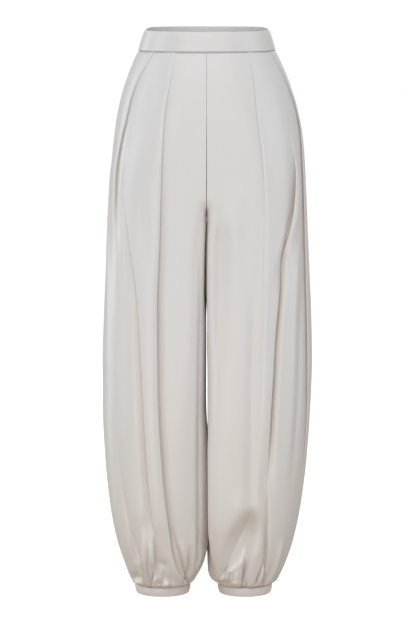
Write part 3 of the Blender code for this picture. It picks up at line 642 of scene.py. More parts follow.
def panel_points(side, face):
    """The grid of one panel in millimetres, and its places along the outline, for the weave.

    Each point is the outline's point at its own place plus its sideways shift, moved along the outward
    direction by its lift.
    """
    name = f"{face}_{side}"
    z = panel_heights()
    along, x, y, out_x, out_y = outline(side, face, z)
    length = along[:, -1]
    tables, counts = (FRONT_PLEATS[side], FRONT_COLUMNS) if face == "front" else (BACK_PLEATS, BACK_COLUMNS)

    def line_of(table):
        return read_rows(rounded_column(table, 1, z)[:, None], x, along)[:, 0]

    lines = [line_of(table) + LAP_SHARE * rounded_column(table, 4, z) for table in tables]
    at = panel_columns(lines, length, counts)
    lift, shift = fold_relief(name, z, at, read_rows(at, along, x), tables, lines, line_of)
    from_seam = np.minimum(at, length[:, None] - at) - SEAM_ROLL
    full = smooth_step(from_seam / FOLD_FADE)
    up, aside = gathers(name, z - CUFF_SEAM_Z, at / length[:, None], length)
    lift = lift * full + up + seam_relief(name, z, at, length)
    at = at + shift * full + aside * smooth_step(from_seam / TUCK_FADE)
    at, lift = turn_in(name, z, at, lift, length)

    place_x = read_rows(at, along, x) + lift * read_rows(at, along, out_x)
    place_y = read_rows(at, along, y) + lift * read_rows(at, along, out_y)
    place_x = np.maximum(place_x, SEAM_GAP / 2)
    place_x[z >= CROTCH_Z, :2] = 0.0
    place_x = place_x if side == "left" else -place_x
    place_x = place_x + legs_lean(place_x, place_y, z)
    return np.stack([place_x, place_y, np.broadcast_to(z[:, None], at.shape)], axis=2), at


print("the folds have their full size from", FOLD_FADE, "mm off a seam")

# %% [markdown]
# ## From a grid to a mesh
# A grid of points becomes a mesh with one quad for each cell. The coordinates go in with foreach_set, which
# takes the whole array at once. A UV map keeps each point's real distance across and down the cloth, so that
# the weave runs with the leg and isn't stretched by the folds.

# %% grid meshes
# Where a tube's end is closed, its edge stays sharp from this angle on, in degrees.
SHARP_EDGE = 50


def grid_faces(rows, columns, wrap_rows, wrap_columns):
    """The quads of a grid as rows of four point numbers. A wrapped grid joins its last line to its first."""
    number = np.arange(rows * columns).reshape(rows, columns)
    if wrap_rows:
        number = np.vstack([number, number[:1]])
    if wrap_columns:
        number = np.hstack([number, number[:, :1]])
    a, b, c, d = number[:-1, :-1], number[1:, :-1], number[1:, 1:], number[:-1, 1:]
    return np.stack([a, b, c, d], axis=2).reshape(-1, 4)


def inside_out(points, faces):
    """True if a closed mesh has a negative volume: a sixth of the sum of a . (b x c) over its triangles."""
    a, b, c, d = (points.reshape(-1, 3)[faces[:, k]] for k in range(4))
    both = np.einsum("ij,ij->i", a, np.cross(b, c)) + np.einsum("ij,ij->i", a, np.cross(c, d))
    return both.sum() < 0


def new_mesh(name, points, corners, starts):
    """A mesh from points in millimetres, the point numbers round all its faces and where each starts."""
    mesh = bpy.data.meshes.new(name)
    mesh.vertices.add(len(points))
    mesh.vertices.foreach_set("co", (points * MM).astype(np.float32).ravel())
    mesh.loops.add(len(corners))
    mesh.loops.foreach_set("vertex_index", corners)
    mesh.polygons.add(len(starts))
    mesh.polygons.foreach_set("loop_start", starts)
    mesh.update(calc_edges=True)
    return mesh


def grid_mesh(name, points, across, finish, body, slot="satin", wrap=(False, False), caps=None, flipped=None):
    """A mesh piece from a grid of points in millimetres, riding on a body.

    wrap closes the grid over its rows or its columns, and caps closes the two ends of a tube. Where flipped
    isn't given the mesh is closed, and its volume tells which way its faces point.
    """
    rows, columns = points.shape[:2]
    faces = grid_faces(rows, columns, *wrap)
    number = np.arange(rows * columns).reshape(rows, columns)
    ends = {
        "rows": [number[0], number[-1][::-1]], "columns": [number[:, 0][::-1], number[:, -1]], None: [],
    }[caps]
    if flipped is None:
        flipped = inside_out(points - points.reshape(-1, 3).mean(axis=0), faces)
    if flipped:
        faces, ends = faces[:, ::-1], [end[::-1] for end in ends]
    corners = np.concatenate([faces.ravel(), *ends]).astype(np.int32)
    end_starts = [faces.size + k * len(end) for k, end in enumerate(ends)]
    starts = np.concatenate([np.arange(len(faces)) * 4, end_starts]).astype(np.int32)
    mesh = new_mesh(name, points.reshape(-1, 3), corners, starts)
    cloth_uv = np.stack([across, points[..., 2]], axis=2).reshape(-1, 2) * MM
    mesh.uv_layers.new(name="cloth").data.foreach_set("uv", cloth_uv[corners].astype(np.float32).ravel())
    mesh.shade_smooth()
    if caps:
        mesh.set_sharp_from_angle(angle=np.radians(SHARP_EDGE))
    mesh.materials.append(finish)
    piece = bpy.data.objects.new(name, mesh)
    bpy.context.scene.collection.objects.link(piece)
    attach(piece, body)
    print(name, rows, "x", columns, "points")
    return piece


# %% [markdown]
# ## Shader maths as plain expressions
# A material is a network of nodes, and long networks are hard to read. This small class wraps one socket, so
# that a + b or 1 - mask adds the Math node itself. Colours go through Mix nodes, because a Math node would
# turn them grey.

# %% sockets
class Socket:
    """One output socket of a material's node tree, with arithmetic."""

    def __init__(self, tree, socket):
        self.tree, self.socket = tree, socket

    def node(self, kind, settings=None, **inputs):
        """Adds a node of any type: its settings first, then a value or a link for each named input."""
        node = self.tree.nodes.new(kind)
        for key, value in (settings or {}).items():
            if key == "stops":
                for element, (position, colour) in zip(node.color_ramp.elements, value):
                    element.position, element.color = position, colour
            else:
                setattr(node, key, value)
        for key, value in inputs.items():
            target = node.inputs[int(key[1:])] if key[1:].isdigit() else node.inputs[key.replace("_", " ")]
            if isinstance(value, Socket):
                self.tree.links.new(value.socket, target)
            else:
                target.default_value = value
        return node

    def maths(self, operation, a, b=0.0):
        """A Math node that works out one operation on two values."""
        node = self.node("ShaderNodeMath", {"operation": operation}, i0=a, i1=b)
        return Socket(self.tree, node.outputs[0])

    def __add__(self, other):
        return self.maths("ADD", self, other)

    def __radd__(self, other):
        return self.maths("ADD", other, self)

    def __sub__(self, other):
        return self.maths("SUBTRACT", self, other)

    def __rsub__(self, other):
        return self.maths("SUBTRACT", other, self)

    def __mul__(self, other):
        return self.maths("MULTIPLY", self, other)

    def __rmul__(self, other):
        return self.maths("MULTIPLY", other, self)

    def mix(self, first, second):
        """Two colours mixed by this value: the first at 0 and the second at 1."""
        node = self.node("ShaderNodeMix", {"data_type": "RGBA"}, i0=self, i6=first, i7=second)
        return Socket(self.tree, node.outputs[2])


def new_material(name, settings):
    """A material with its constant values set, its shader, its object coordinates and its UV map."""
    material = bpy.data.materials.new(name)
    material.use_nodes = True
    tree = material.node_tree
    shader = tree.nodes["Principled BSDF"]
    for key, value in settings.items():
        shader.inputs[key].default_value = value
    places = tree.nodes.new("ShaderNodeTexCoord").outputs
    return material, shader, Socket(tree, places["Object"]), Socket(tree, places["UV"])


# %% [markdown]
# ## Satin
# Satin is woven so that long threads float over the surface. They all run one way, so the sheen is stretched
# across them, and the shader's anisotropic value does the same. The dye is a warm champagne, yet the cloth
# looks nearly grey where cool light falls on it. In a fold the light bounces from cloth to cloth and takes up
# the dye each time, so folds turn golden brown by themselves and no shadow is painted. The fine weave is only
# seen close up, so it is a bump, and a slow change in colour and gloss keeps the large faces from looking
# like plastic. On the waistband, the faces turned to the middle of the waist get a paler colour. This is
# painted light that lifts the shade inside the band.

# %% satin
SATIN_COOL = (0.748, 0.702, 0.655, 1)
SATIN_WARM = (0.753, 0.680, 0.606, 1)
# A paler colour for the inner faces of the waistband: painted light on the shaded inside of the band.
INSIDE_PAINTED_LIGHT = (0.88, 0.81, 0.76, 1)
# Streaks for each metre across and down, and the weave's threads for each metre of cloth.
STREAKS = (24.0, 24.0, 4.0)
THREADS = (2600.0, 700.0, 1.0)
# How rough the satin is where it is glossiest, and how much rougher it gets.
SATIN_GLOSS, SATIN_DULLING = 0.43, 0.06
# How high the small crumples, the streaks and the threads stand in the bump.
CRUMPLES_HIGH, STREAKS_HIGH, THREADS_HIGH = 0.7, 1.5, 0.02


def noise(place, scale, detail=2.0, roughness=0.5):
    """A noise value around 0.5 at the given scale per metre."""
    values = {"Scale": scale, "Detail": detail, "Roughness": roughness}
    node = place.node("ShaderNodeTexNoise", None, Vector=place, **values)
    return Socket(place.tree, node.outputs[0])


def satin_material(name, paints_inside_light=False):
    """Satin. For the waistband, the faces turned to the middle of the waist get a paler colour: painted light
    that lifts the shade inside the band.
    """
    material, shader, place, cloth = new_material(
        name,
        {
            "Metallic": 0.15,
            "IOR": 1.5,
            "Specular IOR Level": 0.4,
            "Anisotropic": 0.6,
            "Anisotropic Rotation": 0.25,
            "Sheen Weight": 0.12,
            "Sheen Roughness": 0.35,
            "Sheen Tint": (0.95, 0.95, 1.0, 1),
        },
    )
    tree = material.node_tree
    upright = place.node("ShaderNodeMapping", {"vector_type": "POINT"}, Vector=place, Scale=STREAKS)
    streaks = noise(Socket(tree, upright.outputs[0]), 1.0, 3.0, 0.6)
    colour = streaks.mix(SATIN_COOL, SATIN_WARM)
    if paints_inside_light:
        # Painted light: faces turned to the middle of the waist take the paler colour, which lifts the shade
        # inside the band.
        level = place.node("ShaderNodeVectorMath", {"operation": "MULTIPLY"}, i0=place, i1=(1.0, 1.0, 0.0))
        level = Socket(tree, level.outputs[0])
        turned = Socket(tree, tree.nodes.new("ShaderNodeNewGeometry").outputs["Normal"])
        outward = place.node("ShaderNodeVectorMath", {"operation": "DOT_PRODUCT"}, i0=turned, i1=level)
        outward = Socket(tree, outward.outputs["Value"])
        colour = outward.maths("LESS_THAN", outward, 0.0).mix(colour, INSIDE_PAINTED_LIGHT)
    tree.links.new(colour.socket, shader.inputs["Base Color"])
    gloss = SATIN_GLOSS + SATIN_DULLING * noise(place, 40.0)
    tree.links.new(gloss.socket, shader.inputs["Roughness"])
    crumple = noise(place, 28.0, 3.0, 0.55)
    stretched = place.node("ShaderNodeMapping", {"vector_type": "POINT"}, Vector=cloth, Scale=THREADS)
    floats = noise(Socket(tree, stretched.outputs[0]), 1.0, 1.0)
    height = crumple * CRUMPLES_HIGH + streaks * STREAKS_HIGH + floats * THREADS_HIGH
    bump = place.node("ShaderNodeBump", None, Height=height, Strength=0.25, Distance=0.0012)
    tree.links.new(bump.outputs[0], shader.inputs["Normal"])
    return material


satin = satin_material("satin")
band_satin_painted_inside = satin_material("satin_waistband_painted_inside", paints_inside_light=True)
print("nodes in the satin:", len(satin.node_tree.nodes))

# %% [markdown]
# ## Sewing the panels
# Now the four panels can be made. Each hides the plain solid it stands for. The thickness of the cloth comes
# last, laid on the inside, so the outside keeps the measured shape.

# %% the four panels
# How thick the cloth is, in millimetres.
CLOTH = 0.5


def thicken(piece, thickness):
    """Gives the cloth its thickness on the inside of its surface."""
    wall = piece.modifiers.new("thickness", "SOLIDIFY")
    wall.thickness = thickness * MM
    wall.offset = -1
    wall.use_rim = True


for side in ("right", "left"):
    for face in ("front", "back"):
        points, across = panel_points(side, face)
        flipped = (side == "right") != (face == "back")
        panel = grid_mesh(f"{face}_{side}_cloth", points, across, satin, "trousers", flipped=flipped)
        thicken(panel, CLOTH)
        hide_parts(f"{face}_{side}")

# %% [markdown]
# ## Waistband
# The waistband is a strip of satin folded over a stiff interlining. The fold makes its top edge round, and
# its lower edges are turned in and sewn to the pleats. It is drawn as a cross-section carried round the
# waist: a closed loop, a little fuller in the middle of its height, as two layers over an interlining are.

# %% waistband
# Heights of its top edge in front and behind, and of its seam. Its reaches: right, left, front and back.
BAND_TOP_FRONT_Z, BAND_TOP_BACK_Z, BAND_SEAM_Z = 22.8, 26.9, -12.5
BAND_TOP = (112.0, 114.0, 88.5, 92.0)
BAND_SEAM = (123.0, 125.0, 94.0, 95.2)
BAND_THICKNESS = 2.4
BAND_ROUNDNESS = 2.4
# How far the middle of its height stands out, and on the inside as a share of that. How high its waves are,
# and at which sine of the angle its back has risen to its full height.
BAND_CROWN, INNER_CROWN, BAND_WAVE, BAND_RISE = 0.5, 0.4, 0.2, 0.5
# How fast its waves follow each other down its height, and how far and how often they drift round the waist.
WAVES_DOWN, WAVES_DRIFT, DRIFTS = 9, 2.6, 1.5
# Its mean radius, which turns angles into distances along the cloth.
BAND_RADIUS = 105
ZIP_GAP = 0.2
# The points down a face and round an edge of its cross-section. What lies less deep than OUTER_FACE is the
# outer face.
FACE_POINTS, TURN_POINTS = 13, 7
OUTER_FACE = 0.1


def oval(reaches, angle, roundness):
    """A rounded oval from its reach to the right, left, front and back: its points and outward directions.

    The angle runs from the wearer's left through the back. Across = reach times cos(angle) to the power
    2 / roundness, and depth = reach times sin(angle) to the same power.
    """
    right, left, front, back = reaches
    across, deep = power(np.cos(angle), 2 / roundness), power(np.sin(angle), 2 / roundness)
    half = np.where(across > 0, left, right)
    depth = np.where(deep > 0, back - MIDDLE_Y, front + MIDDLE_Y)
    out_x = power(np.cos(angle), 2 - 2 / roundness) / half
    out_y = power(np.sin(angle), 2 - 2 / roundness) / depth
    length = np.hypot(out_x, out_y)
    return half * across, MIDDLE_Y + depth * deep, out_x / length, out_y / length


def wall_section(thickness, height, crown):
    """A wall's cross-section as a closed loop: its depth from the outer face, and its share of the height.

    Down the outer face, which stands out by crown times 1 - (2 share - 1) squared, round the lower edge on a
    half circle, up the inner face, and round the upper edge on another.
    """
    radius = thickness / 2
    faces = np.linspace(0, 1, FACE_POINTS)
    arc = np.linspace(0, np.pi, TURN_POINTS + 2)[1:-1]
    face_share = (radius + faces * (height - 2 * radius)) / height
    swollen = crown * (1 - (2 * faces - 1) ** 2)
    inner_face = thickness + INNER_CROWN * swollen[::-1]
    across, down = radius * np.cos(arc), radius * np.sin(arc)
    depth = np.concatenate([-swollen, radius - across, inner_face, radius + across])
    low, high = (height - radius + down) / height, (radius - down) / height
    return depth, np.concatenate([face_share, low, face_share[::-1], high])


def waistband_points(angle):
    """The waistband's cross-section at each angle, with the soft level waves of a band that is worn.

    A wave is a sine down the height whose start drifts with another sine round the waist. A half sine of the
    height fades it out at the two edges.
    """
    depth, share = wall_section(BAND_THICKNESS, BAND_TOP_FRONT_Z - BAND_SEAM_Z, BAND_CROWN)
    depth, share = depth[:, None], share[:, None]
    mixed = [(1 - share) * top + share * low for top, low in zip(BAND_TOP, BAND_SEAM)]
    x, y, out_x, out_y = oval(mixed, angle[None, :], BAND_ROUNDNESS)
    wave = np.sin(WAVES_DOWN * share + WAVES_DRIFT * np.sin(DRIFTS * angle)) * np.sin(np.pi * share)
    outwards = BAND_WAVE * wave * (depth < OUTER_FACE) - depth
    x, y = x + outwards * out_x, y + outwards * out_y
    raised = smooth_step(np.sin(angle) / BAND_RISE)
    top = BAND_TOP_FRONT_Z + (BAND_TOP_BACK_Z - BAND_TOP_FRONT_Z) * raised
    z = top + share * (BAND_SEAM_Z - top)
    return np.stack([x, y, z], axis=2), BAND_RADIUS * angle[None, :] + 0 * x


def axis_angle(distance, half):
    """The angle at which an oval is this far off its axis: arcsin of (distance / half) ** (roundness / 2)."""
    return np.arcsin((distance / half) ** (BAND_ROUNDNESS / 2))


side_edge = axis_angle(SEAM_GAP / 2, BAND_TOP[2])
zip_edge = axis_angle(ZIP_GAP / 2, BAND_TOP[0])
BAND_SPANS = {
    "waistband_front": (-np.pi + side_edge, -side_edge, 240, (0.352, 0.037)),
    "waistband_back_left": (side_edge, np.pi / 2 - zip_edge, 120, (0.176, 0.040)),
    "waistband_back_right": (np.pi / 2 + zip_edge, np.pi - side_edge, 120, (0.174, 0.040)),
}
for name, (start, end, columns, flat) in BAND_SPANS.items():
    points, across = waistband_points(np.linspace(start, end, columns))
    closed = {"wrap": (True, False), "caps": "columns"}
    band = grid_mesh(f"{name}_cloth", points, across, band_satin_painted_inside, "trousers", **closed)
    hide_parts(name)
print("waistband pieces:", len(BAND_SPANS))

# %% [markdown]
# ## Cuffs
# The gathers are held by a narrow cuff, a folded strip like the waistband. Its upper edge is pulled into
# small waves by the gathers sewn into it, and it is a little narrower at its hem.

# %% cuffs
CUFF_TOP_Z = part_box("cuff_left")[1][2] / MM
CUFF_HEM_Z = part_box("cuff_left")[0][2] / MM
CUFF_COLUMNS = 256
# How far each cuff's inner and outer edges are from the middle, and how far it reaches to the front and back.
CUFF_EDGES = {"right": (29.0, 133.0), "left": (20.0, 122.0)}
CUFF_DEPTHS = (45.5, 48.5)
CUFF_ROUNDNESS = 2.1
CUFF_SEEDS = {"right": 5, "left": 8}
# How far the cuff lies in from the legs' edges, how far its hem is drawn in, and how far its face swells.
CUFF_INSET, CUFF_TAPER, CUFF_CROWN = 0.8, 2.6, 0.45
CUFF_RADIUS = 50
# The small waves of its upper edge: outwards, upwards, and how many there are round the ankle.
PUCKER, PUCKER_RISE, PUCKER_COUNTS = 0.22, 0.25, (9, 14, 19, 27, 33)
# The stitched groove: how deep, how far down and how wide, the last two as shares of the height.
STITCH_DEPTH, STITCH_PLACE, STITCH_SPREAD = 0.35, 0.14, 0.05


def cuff_points(side):
    """One cuff's cross-section all round the ankle, drawn in by 2.6 times its share of the height squared.

    Its upper edge waves with a sum of sines round the ankle, whose sizes and starts are random.
    """
    inner, outer = CUFF_EDGES[side]
    centre = (inner + outer) / 2 * (1 if side == "left" else -1)
    half = (outer - inner) / 2 - CUFF_INSET
    angle = np.linspace(0, 2 * np.pi, CUFF_COLUMNS, endpoint=False)[None, :]
    depth, share = wall_section(BAND_THICKNESS, CUFF_TOP_Z - CUFF_HEM_Z, CUFF_CROWN)
    depth, share = depth[:, None], share[:, None]
    x, y, out_x, out_y = oval((half, half, *CUFF_DEPTHS), angle, CUFF_ROUNDNESS)
    chance = np.random.default_rng(CUFF_SEEDS[side])
    waves = sum(chance.uniform(0.4, 1) * np.sin(n * angle + chance.uniform(0, 6.3)) for n in PUCKER_COUNTS)
    pucker = PUCKER * waves * (1 - share) ** 1.5 * (depth < OUTER_FACE)
    groove = -STITCH_DEPTH * bell(share - STITCH_PLACE, STITCH_SPREAD) * (depth < OUTER_FACE)
    inwards = depth + CUFF_TAPER * share**2 - pucker - groove
    x, y = centre + x - inwards * out_x, y - inwards * out_y
    z = CUFF_TOP_Z + share * (CUFF_HEM_Z - CUFF_TOP_Z) + PUCKER_RISE * waves * (1 - share) ** 2
    return np.stack([x, y, z], axis=2), CUFF_RADIUS * angle + 0 * x


for side in ("right", "left"):
    points, across = cuff_points(side)
    cuff = grid_mesh(f"cuff_{side}_cloth", points, across, satin, "trousers", wrap=(True, True))
    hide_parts(f"cuff_{side}")

# %% [markdown]
# ## Die-cast metal
# A zip's slider and pull are cast in zinc and polished in a drum. The colour of a metal is the colour of what
# it reflects, so the finish is plain metal with a warm tint. Wear shows as a change in gloss, and the
# casting's skin as a very shallow bump.

# %% zip metal
METAL_DARK, METAL_LIGHT = (0.56, 0.54, 0.51, 1), (0.66, 0.64, 0.60, 1)
METAL_GLOSS, METAL_WEAR = 0.24, 0.16


def metal_material():
    """Polished metal whose tint, gloss and skin all follow fine noise."""
    material, shader, place, _ = new_material("zip_metal", {"Metallic": 1.0, "Specular IOR Level": 0.5})
    tree = material.node_tree
    tint = noise(place, 900.0).mix(METAL_DARK, METAL_LIGHT)
    tree.links.new(tint.socket, shader.inputs["Base Color"])
    rub = METAL_GLOSS + METAL_WEAR * noise(place, 2600.0, 3.0)
    tree.links.new(rub.socket, shader.inputs["Roughness"])
    bump = place.node("ShaderNodeBump", None, Height=noise(place, 5200.0), Strength=0.12, Distance=0.00005)
    tree.links.new(bump.outputs[0], shader.inputs["Normal"])
    return material


zip_metal = metal_material()
print("nodes in the metal:", len(zip_metal.node_tree.nodes))

# %% [markdown]
# ## Zip slider
# A plain waist like this one closes with an invisible zip in the centre back seam. Only its slider and pull
# show, at the top. The slider is a small plate with a bridge on it. Its thin edges are rounded on quarter
# circles, because die-cast metal has no sharp ones.

# %% zip slider
SLIDER_Z = 17.0
SLIDER_BACK_Y, SLIDER_FACE_Y = 93.337, 94.837
SLIDER_WIDTH, SLIDER_HEIGHT = 5.0, 8.0
# How square the plate's corners are, where 2 is an ellipse, how much narrower it gets, and its edges' radius.
PLATE_SQUARENESS, PLATE_TAPER, EDGE_ROUND = 5, 0.16, 0.3
PLATE_SIDES = 64
BRIDGE_SIZE, BRIDGE_SPACE, BRIDGE_HALF_HEIGHT, BRIDGE_FOOT = 1.2, 2.2, 2.1, 0.3
BRIDGE_STEPS, BRIDGE_SIDES, BRIDGE_SQUARENESS = 25, 24, 4
# The powers of the cosine and the sine that the bridge's arch follows, outwards and upwards.
ARCH_OUT, ARCH_UP = 0.5, 0.7
# The points round the plate's rounded edge.
EDGE_POINTS = 5


def rounded_outline(half_width, half_height, exponent, sides):
    """A closed outline, across = half width times cos to the power 2 / exponent, and the same in height."""
    t = np.linspace(0, 2 * np.pi, sides, endpoint=False)
    return half_width * power(np.cos(t), 2 / exponent), half_height * power(np.sin(t), 2 / exponent)


def round_over(near, far, radius):
    """Depths and insets of a plate whose two edges are rounded on quarter circles."""
    turn = np.linspace(0, np.pi / 2, EDGE_POINTS)
    depth = np.concatenate([near + radius * (1 - np.cos(turn)), far - radius * (1 - np.cos(turn[::-1]))])
    inset = np.concatenate([radius * (1 - np.sin(turn)), radius * (1 - np.sin(turn[::-1]))])
    return depth, inset


def slider_points():
    """The slider's plate: a rounded outline, narrower at its lower end, stacked through its thickness."""
    depth, inset = (v[:, None] for v in round_over(SLIDER_BACK_Y, SLIDER_FACE_Y, EDGE_ROUND))
    x, z = rounded_outline(SLIDER_WIDTH / 2, SLIDER_HEIGHT / 2, PLATE_SQUARENESS, PLATE_SIDES)
    narrowed = 1 - PLATE_TAPER * smooth_step(0.5 - z / SLIDER_HEIGHT)
    across = x * narrowed * (1 - inset * 2 / SLIDER_WIDTH)
    up = SLIDER_Z + z * (1 - inset * 2 / SLIDER_HEIGHT)
    return np.stack([across, np.repeat(depth, PLATE_SIDES, 1), up], axis=2)


def bridge_points():
    """The bridge: a rounded square carried along an arch, out = cos to the power 0.5, up = sin to 0.7."""
    arch = np.linspace(-np.pi / 2, np.pi / 2, BRIDGE_STEPS)[:, None]
    half = BRIDGE_SIZE / 2
    section_x, section_out = rounded_outline(half, half, BRIDGE_SQUARENESS, BRIDGE_SIDES)
    reach = BRIDGE_SPACE + half + BRIDGE_FOOT + section_out
    out = SLIDER_FACE_Y - BRIDGE_FOOT + reach * power(np.cos(arch), ARCH_OUT)
    up = SLIDER_Z + (BRIDGE_HALF_HEIGHT + half + section_out) * power(np.sin(arch), ARCH_UP)
    return np.stack([np.repeat(section_x[None, :], BRIDGE_STEPS, 0), out, up], axis=2)


def metal_piece(name, points, body, **closed):
    """A piece of zip metal that rides on a body."""
    return grid_mesh(name, points, points[..., 0], zip_metal, body, "zip_metal", **closed)


slider = metal_piece("zip_slider_plate", slider_points(), "trousers", wrap=(False, True), caps="rows")
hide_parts("zip_slider")
metal_piece("zip_slider_bridge", bridge_points(), "trousers", wrap=(False, True), caps="rows")

# %% [markdown]
# ## Zip pull
# The pull is a small flat drop with a slot, which hangs on the bridge and swings, so it rides on a body of
# its own. A cross-section carried round the slot makes the plate, its rounded edges and the slot in one
# closed surface.

# %% zip pull
PULL_WIDTH, PULL_LENGTH, PULL_THICKNESS = 5.0, 22.0, 1.2
SLOT_WIDTH, SLOT_LENGTH = 2.4, 4.0
PULL_SQUARENESS, PULL_TAPER, PULL_SIDES = 3.2, 0.12, 96
# The width that the rounding of the edges is shared over.
RING_WIDTH = 2.2
PIVOT_Y = SLIDER_FACE_Y + BRIDGE_SPACE / 2


def pull_points():
    """A teardrop plate with a slot: a cross-section carried round, from the slot's edge to the outside.

    Across the ring the plate's two faces are joined by half circles, as deep as the plate is thick.
    """
    half = PULL_THICKNESS / 2
    out_x, out_z = rounded_outline(PULL_WIDTH / 2, PULL_LENGTH / 2, PULL_SQUARENESS, PULL_SIDES)
    out_x = out_x * (1 - PULL_TAPER * smooth_step(out_z / PULL_LENGTH + 0.5))
    slot_x, slot_z = rounded_outline(SLOT_WIDTH / 2, SLOT_LENGTH / 2, PULL_SQUARENESS, PULL_SIDES)
    middle, slot_middle = half - PULL_LENGTH / 2, -half - SLOT_LENGTH / 2
    turn = np.linspace(-np.pi / 2, np.pi / 2, 7)
    reach = 1 - (1 - np.cos(turn)) * half / RING_WIDTH
    share = np.concatenate([reach, [0.5], (1 - reach)[::-1], [0.5]])[:, None]
    lift = np.concatenate([half * np.sin(turn), [half], -half * np.sin(turn), [-half]])[:, None]
    x = slot_x * (1 - share) + out_x * share
    z = (slot_middle + slot_z) * (1 - share) + (middle + out_z) * share
    return np.stack([x, PIVOT_Y + lift + 0 * x, SLIDER_Z + z], axis=2)


pull = metal_piece("zip_pull_tab", pull_points(), "zip_pull", wrap=(True, True))
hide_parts("zip_pull")

# %% [markdown]
# ## Zip tape
# Behind the opening a narrow woven tape carries the zip. It is seen only from inside, and it closes the slit
# between the two ends of the waistband.

# %% zip tape
TAPE_HALF_WIDTH, TAPE_TOP_Z, TAPE_END_Z, TAPE_THICKNESS = 12.0, 14.0, -190.0, 0.6
# How far the tape lies off the cloth, and the coil under it: how high and how wide.
TAPE_OFF, COIL_HEIGHT, COIL_SPREAD = 0.5, 0.9, 1.6
# The tape follows the waistband to this far below its seam, and then the panel, but no further out than this.
BAND_FOLLOWED, PANEL_SWELL = 6, 40
TAPE_ROWS, TAPE_COLUMNS, TAPE_AVERAGE = 90, 25, 13


def tape_points():
    """The tape lies on the inside of the back: its depth follows the waistband and then the back panels.

    The depth is averaged over 13 rows, and in its middle a bell curve stands up over the coil.
    """
    z = np.linspace(TAPE_TOP_Z, TAPE_END_Z, TAPE_ROWS)
    in_band = np.interp(z, [BAND_SEAM_Z, BAND_TOP_BACK_Z], [BAND_SEAM[3], BAND_TOP[3]]) - BAND_THICKNESS
    in_panel = smooth_column(SECTIONS, SECTION_COLUMNS.index("back"), z) - ALLOWANCE
    in_panel = np.minimum(in_panel, in_band[0] + PANEL_SWELL)
    y = np.where(z > BAND_SEAM_Z - BAND_FOLLOWED, in_band, in_panel) - TAPE_OFF
    weights = np.ones(TAPE_AVERAGE) / TAPE_AVERAGE
    y = np.convolve(np.pad(y, TAPE_AVERAGE // 2, mode="edge"), weights, mode="valid")
    x = np.linspace(-TAPE_HALF_WIDTH, TAPE_HALF_WIDTH, TAPE_COLUMNS)
    across, up = x[None, :] + 0 * z[:, None], z[:, None] + 0 * x[None, :]
    return np.stack([across, y[:, None] + COIL_HEIGHT * bell(across, COIL_SPREAD), up], axis=2), across


points, across = tape_points()
tape = grid_mesh("zip_tape", points, across, satin, "trousers", flipped=True)
thicken(tape, TAPE_THICKNESS)

# %% [markdown]
# ## Floor
# In a product photograph the trousers stand before an even white. The floor is white and glows a little by
# itself, and it is kept out of what the satin reflects, so it stays an even background.

# %% floor
FLOOR_Z = -1.10
FLOOR_SIZE = 600
bpy.ops.mesh.primitive_plane_add(size=FLOOR_SIZE, location=(0, 0, FLOOR_Z))
floor = bpy.context.object
floor.name = "floor"
floor_finish = {
    "Roughness": 0.9, "Specular IOR Level": 0.1, "Emission Color": (1, 1, 1, 1), "Emission Strength": 0.37,
}
floor_material, floor_shader, floor_place, _ = new_material("floor", floor_finish)
pale = noise(floor_place, 3.0).mix((0.93, 0.93, 0.93, 1), (0.95, 0.95, 0.95, 1))
floor_material.node_tree.links.new(pale.socket, floor_shader.inputs["Base Color"])
floor.data.materials.append(floor_material)
floor.visible_diffuse = False
floor.visible_glossy = False
print("the floor lies", round(CUFF_HEM_Z * MM - FLOOR_Z, 3), "metres under the hems")

# %% [markdown]
# ## Light
# A large soft light stands in front and one cooler light on each side. A small warm one lies low in front of
# the ankles, as a pale floor would light them, and a narrow one behind draws the left edge. A large one
# behind, hidden from the camera, lights the back panels. The room is cool above and warm below.

# %% lights
ROOM_STOPS = [(0.25, (0.41, 0.345, 0.255, 1)), (0.80, (0.61, 0.655, 0.745, 1))]
ROOM_LIGHT_FROM = (0.0, -0.3, 0.95)
world = bpy.data.worlds.new("studio_room")
bpy.context.scene.world = world
world.use_nodes = True
room = world.node_tree
sky_place = Socket(room, room.nodes.new("ShaderNodeTexCoord").outputs["Generated"])
dot = {"operation": "DOT_PRODUCT"}
toward = sky_place.node("ShaderNodeVectorMath", dot, i0=sky_place, i1=ROOM_LIGHT_FROM)
facing = 0.5 + 0.5 * Socket(room, toward.outputs["Value"])
ramp = sky_place.node("ShaderNodeValToRGB", {"stops": ROOM_STOPS}, i0=facing)
room.links.new(ramp.outputs[0], room.nodes["Background"].inputs["Color"])
room.nodes["Background"].inputs["Strength"].default_value = 1.0


def soft_light(name, place, target, size, watts, colour):
    """A large rectangular light that faces its target."""
    lamp = bpy.data.lights.new(name, "AREA")
    lamp.shape = "RECTANGLE"
    lamp.size, lamp.size_y = size
    lamp.energy = watts
    lamp.color = colour
    light = bpy.data.objects.new(name, lamp)
    light.location = place
    aim = mathutils.Vector(target) - mathutils.Vector(place)
    light.rotation_euler = aim.to_track_quat("-Z", "Y").to_euler()
    bpy.context.scene.collection.objects.link(light)
    return light


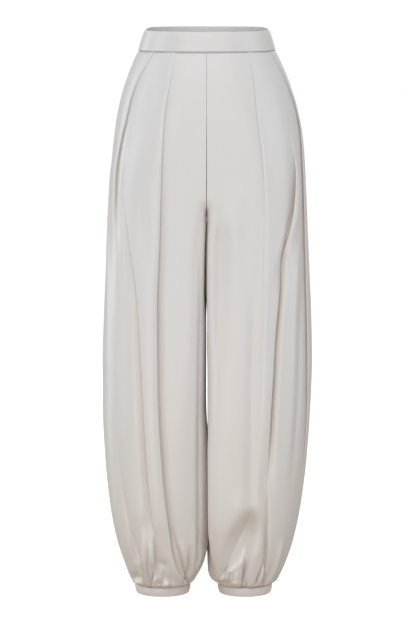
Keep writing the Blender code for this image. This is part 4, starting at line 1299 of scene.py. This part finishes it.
soft_light("front_light", (-0.15, -2.9, 0.8), (0, 0, -0.45), (2.6, 1.8), 20.1, (0.865, 0.93, 1.0))
soft_light("left_light", (-2.4, -0.8, 0.2), (0, 0, -0.3), (1.4, 2.0), 13.5, (0.58, 0.79, 1.0))
soft_light("right_light", (2.2, -1.3, 0.2), (0, 0, -0.3), (1.8, 2.2), 12.5, (0.60, 0.80, 1.0))
soft_light("low_light", (-0.4, -1.3, -1.0), (0, 0, -0.95), (1.2, 0.15), 2.5, (1.0, 0.94, 0.86))
soft_light("edge_light", (-2.2, 1.2, -0.2), (0, 0, -0.45), (0.6, 2.0), 11, (0.76, 0.88, 1.0))
back_light = soft_light("back_light", (0.2, 3.0, 0.9), (0, 0, -0.45), (2.4, 1.8), 24, (0.72, 0.86, 1.0))
back_light.visible_camera = False
overhead = bpy.data.lights.new("overhead", "SUN")
overhead.energy = 0.42
overhead.color = (0.78, 0.86, 1.0)
overhead.angle = np.radians(70)
overhead_light = bpy.data.objects.new("overhead", overhead)
overhead_light.rotation_euler = (np.radians(25), 0, 0)
bpy.context.scene.collection.objects.link(overhead_light)
print("lights:", len(bpy.data.lights))

# %% [markdown]
# ## Camera
# The camera stands five metres away, a little above the waist, and looks slightly down, so the waist seam
# looks straight and the cuffs look curved. A long lens from far away draws the near and the far edge of the
# waist nearly the same size.

# %% camera
PHOTO_SIZE = (413, 619)
CAMERA_PLACE = (0.0, -5.0, 0.2)
CAMERA_PITCH = 7.8
FOCAL_PIXELS = 2766
SENSOR = 36.0
camera_data = bpy.data.cameras.new("camera")
camera_data.sensor_fit = "VERTICAL"
camera_data.sensor_height = SENSOR
camera_data.lens = FOCAL_PIXELS / PHOTO_SIZE[1] * SENSOR
camera = bpy.data.objects.new("camera", camera_data)
camera.location = CAMERA_PLACE
camera.rotation_euler = (np.radians(90 - CAMERA_PITCH), 0, 0)
bpy.context.scene.collection.objects.link(camera)
bpy.context.scene.camera = camera
bpy.context.scene.view_settings.view_transform = "Standard"
print("camera lens in mm:", round(camera_data.lens, 1))
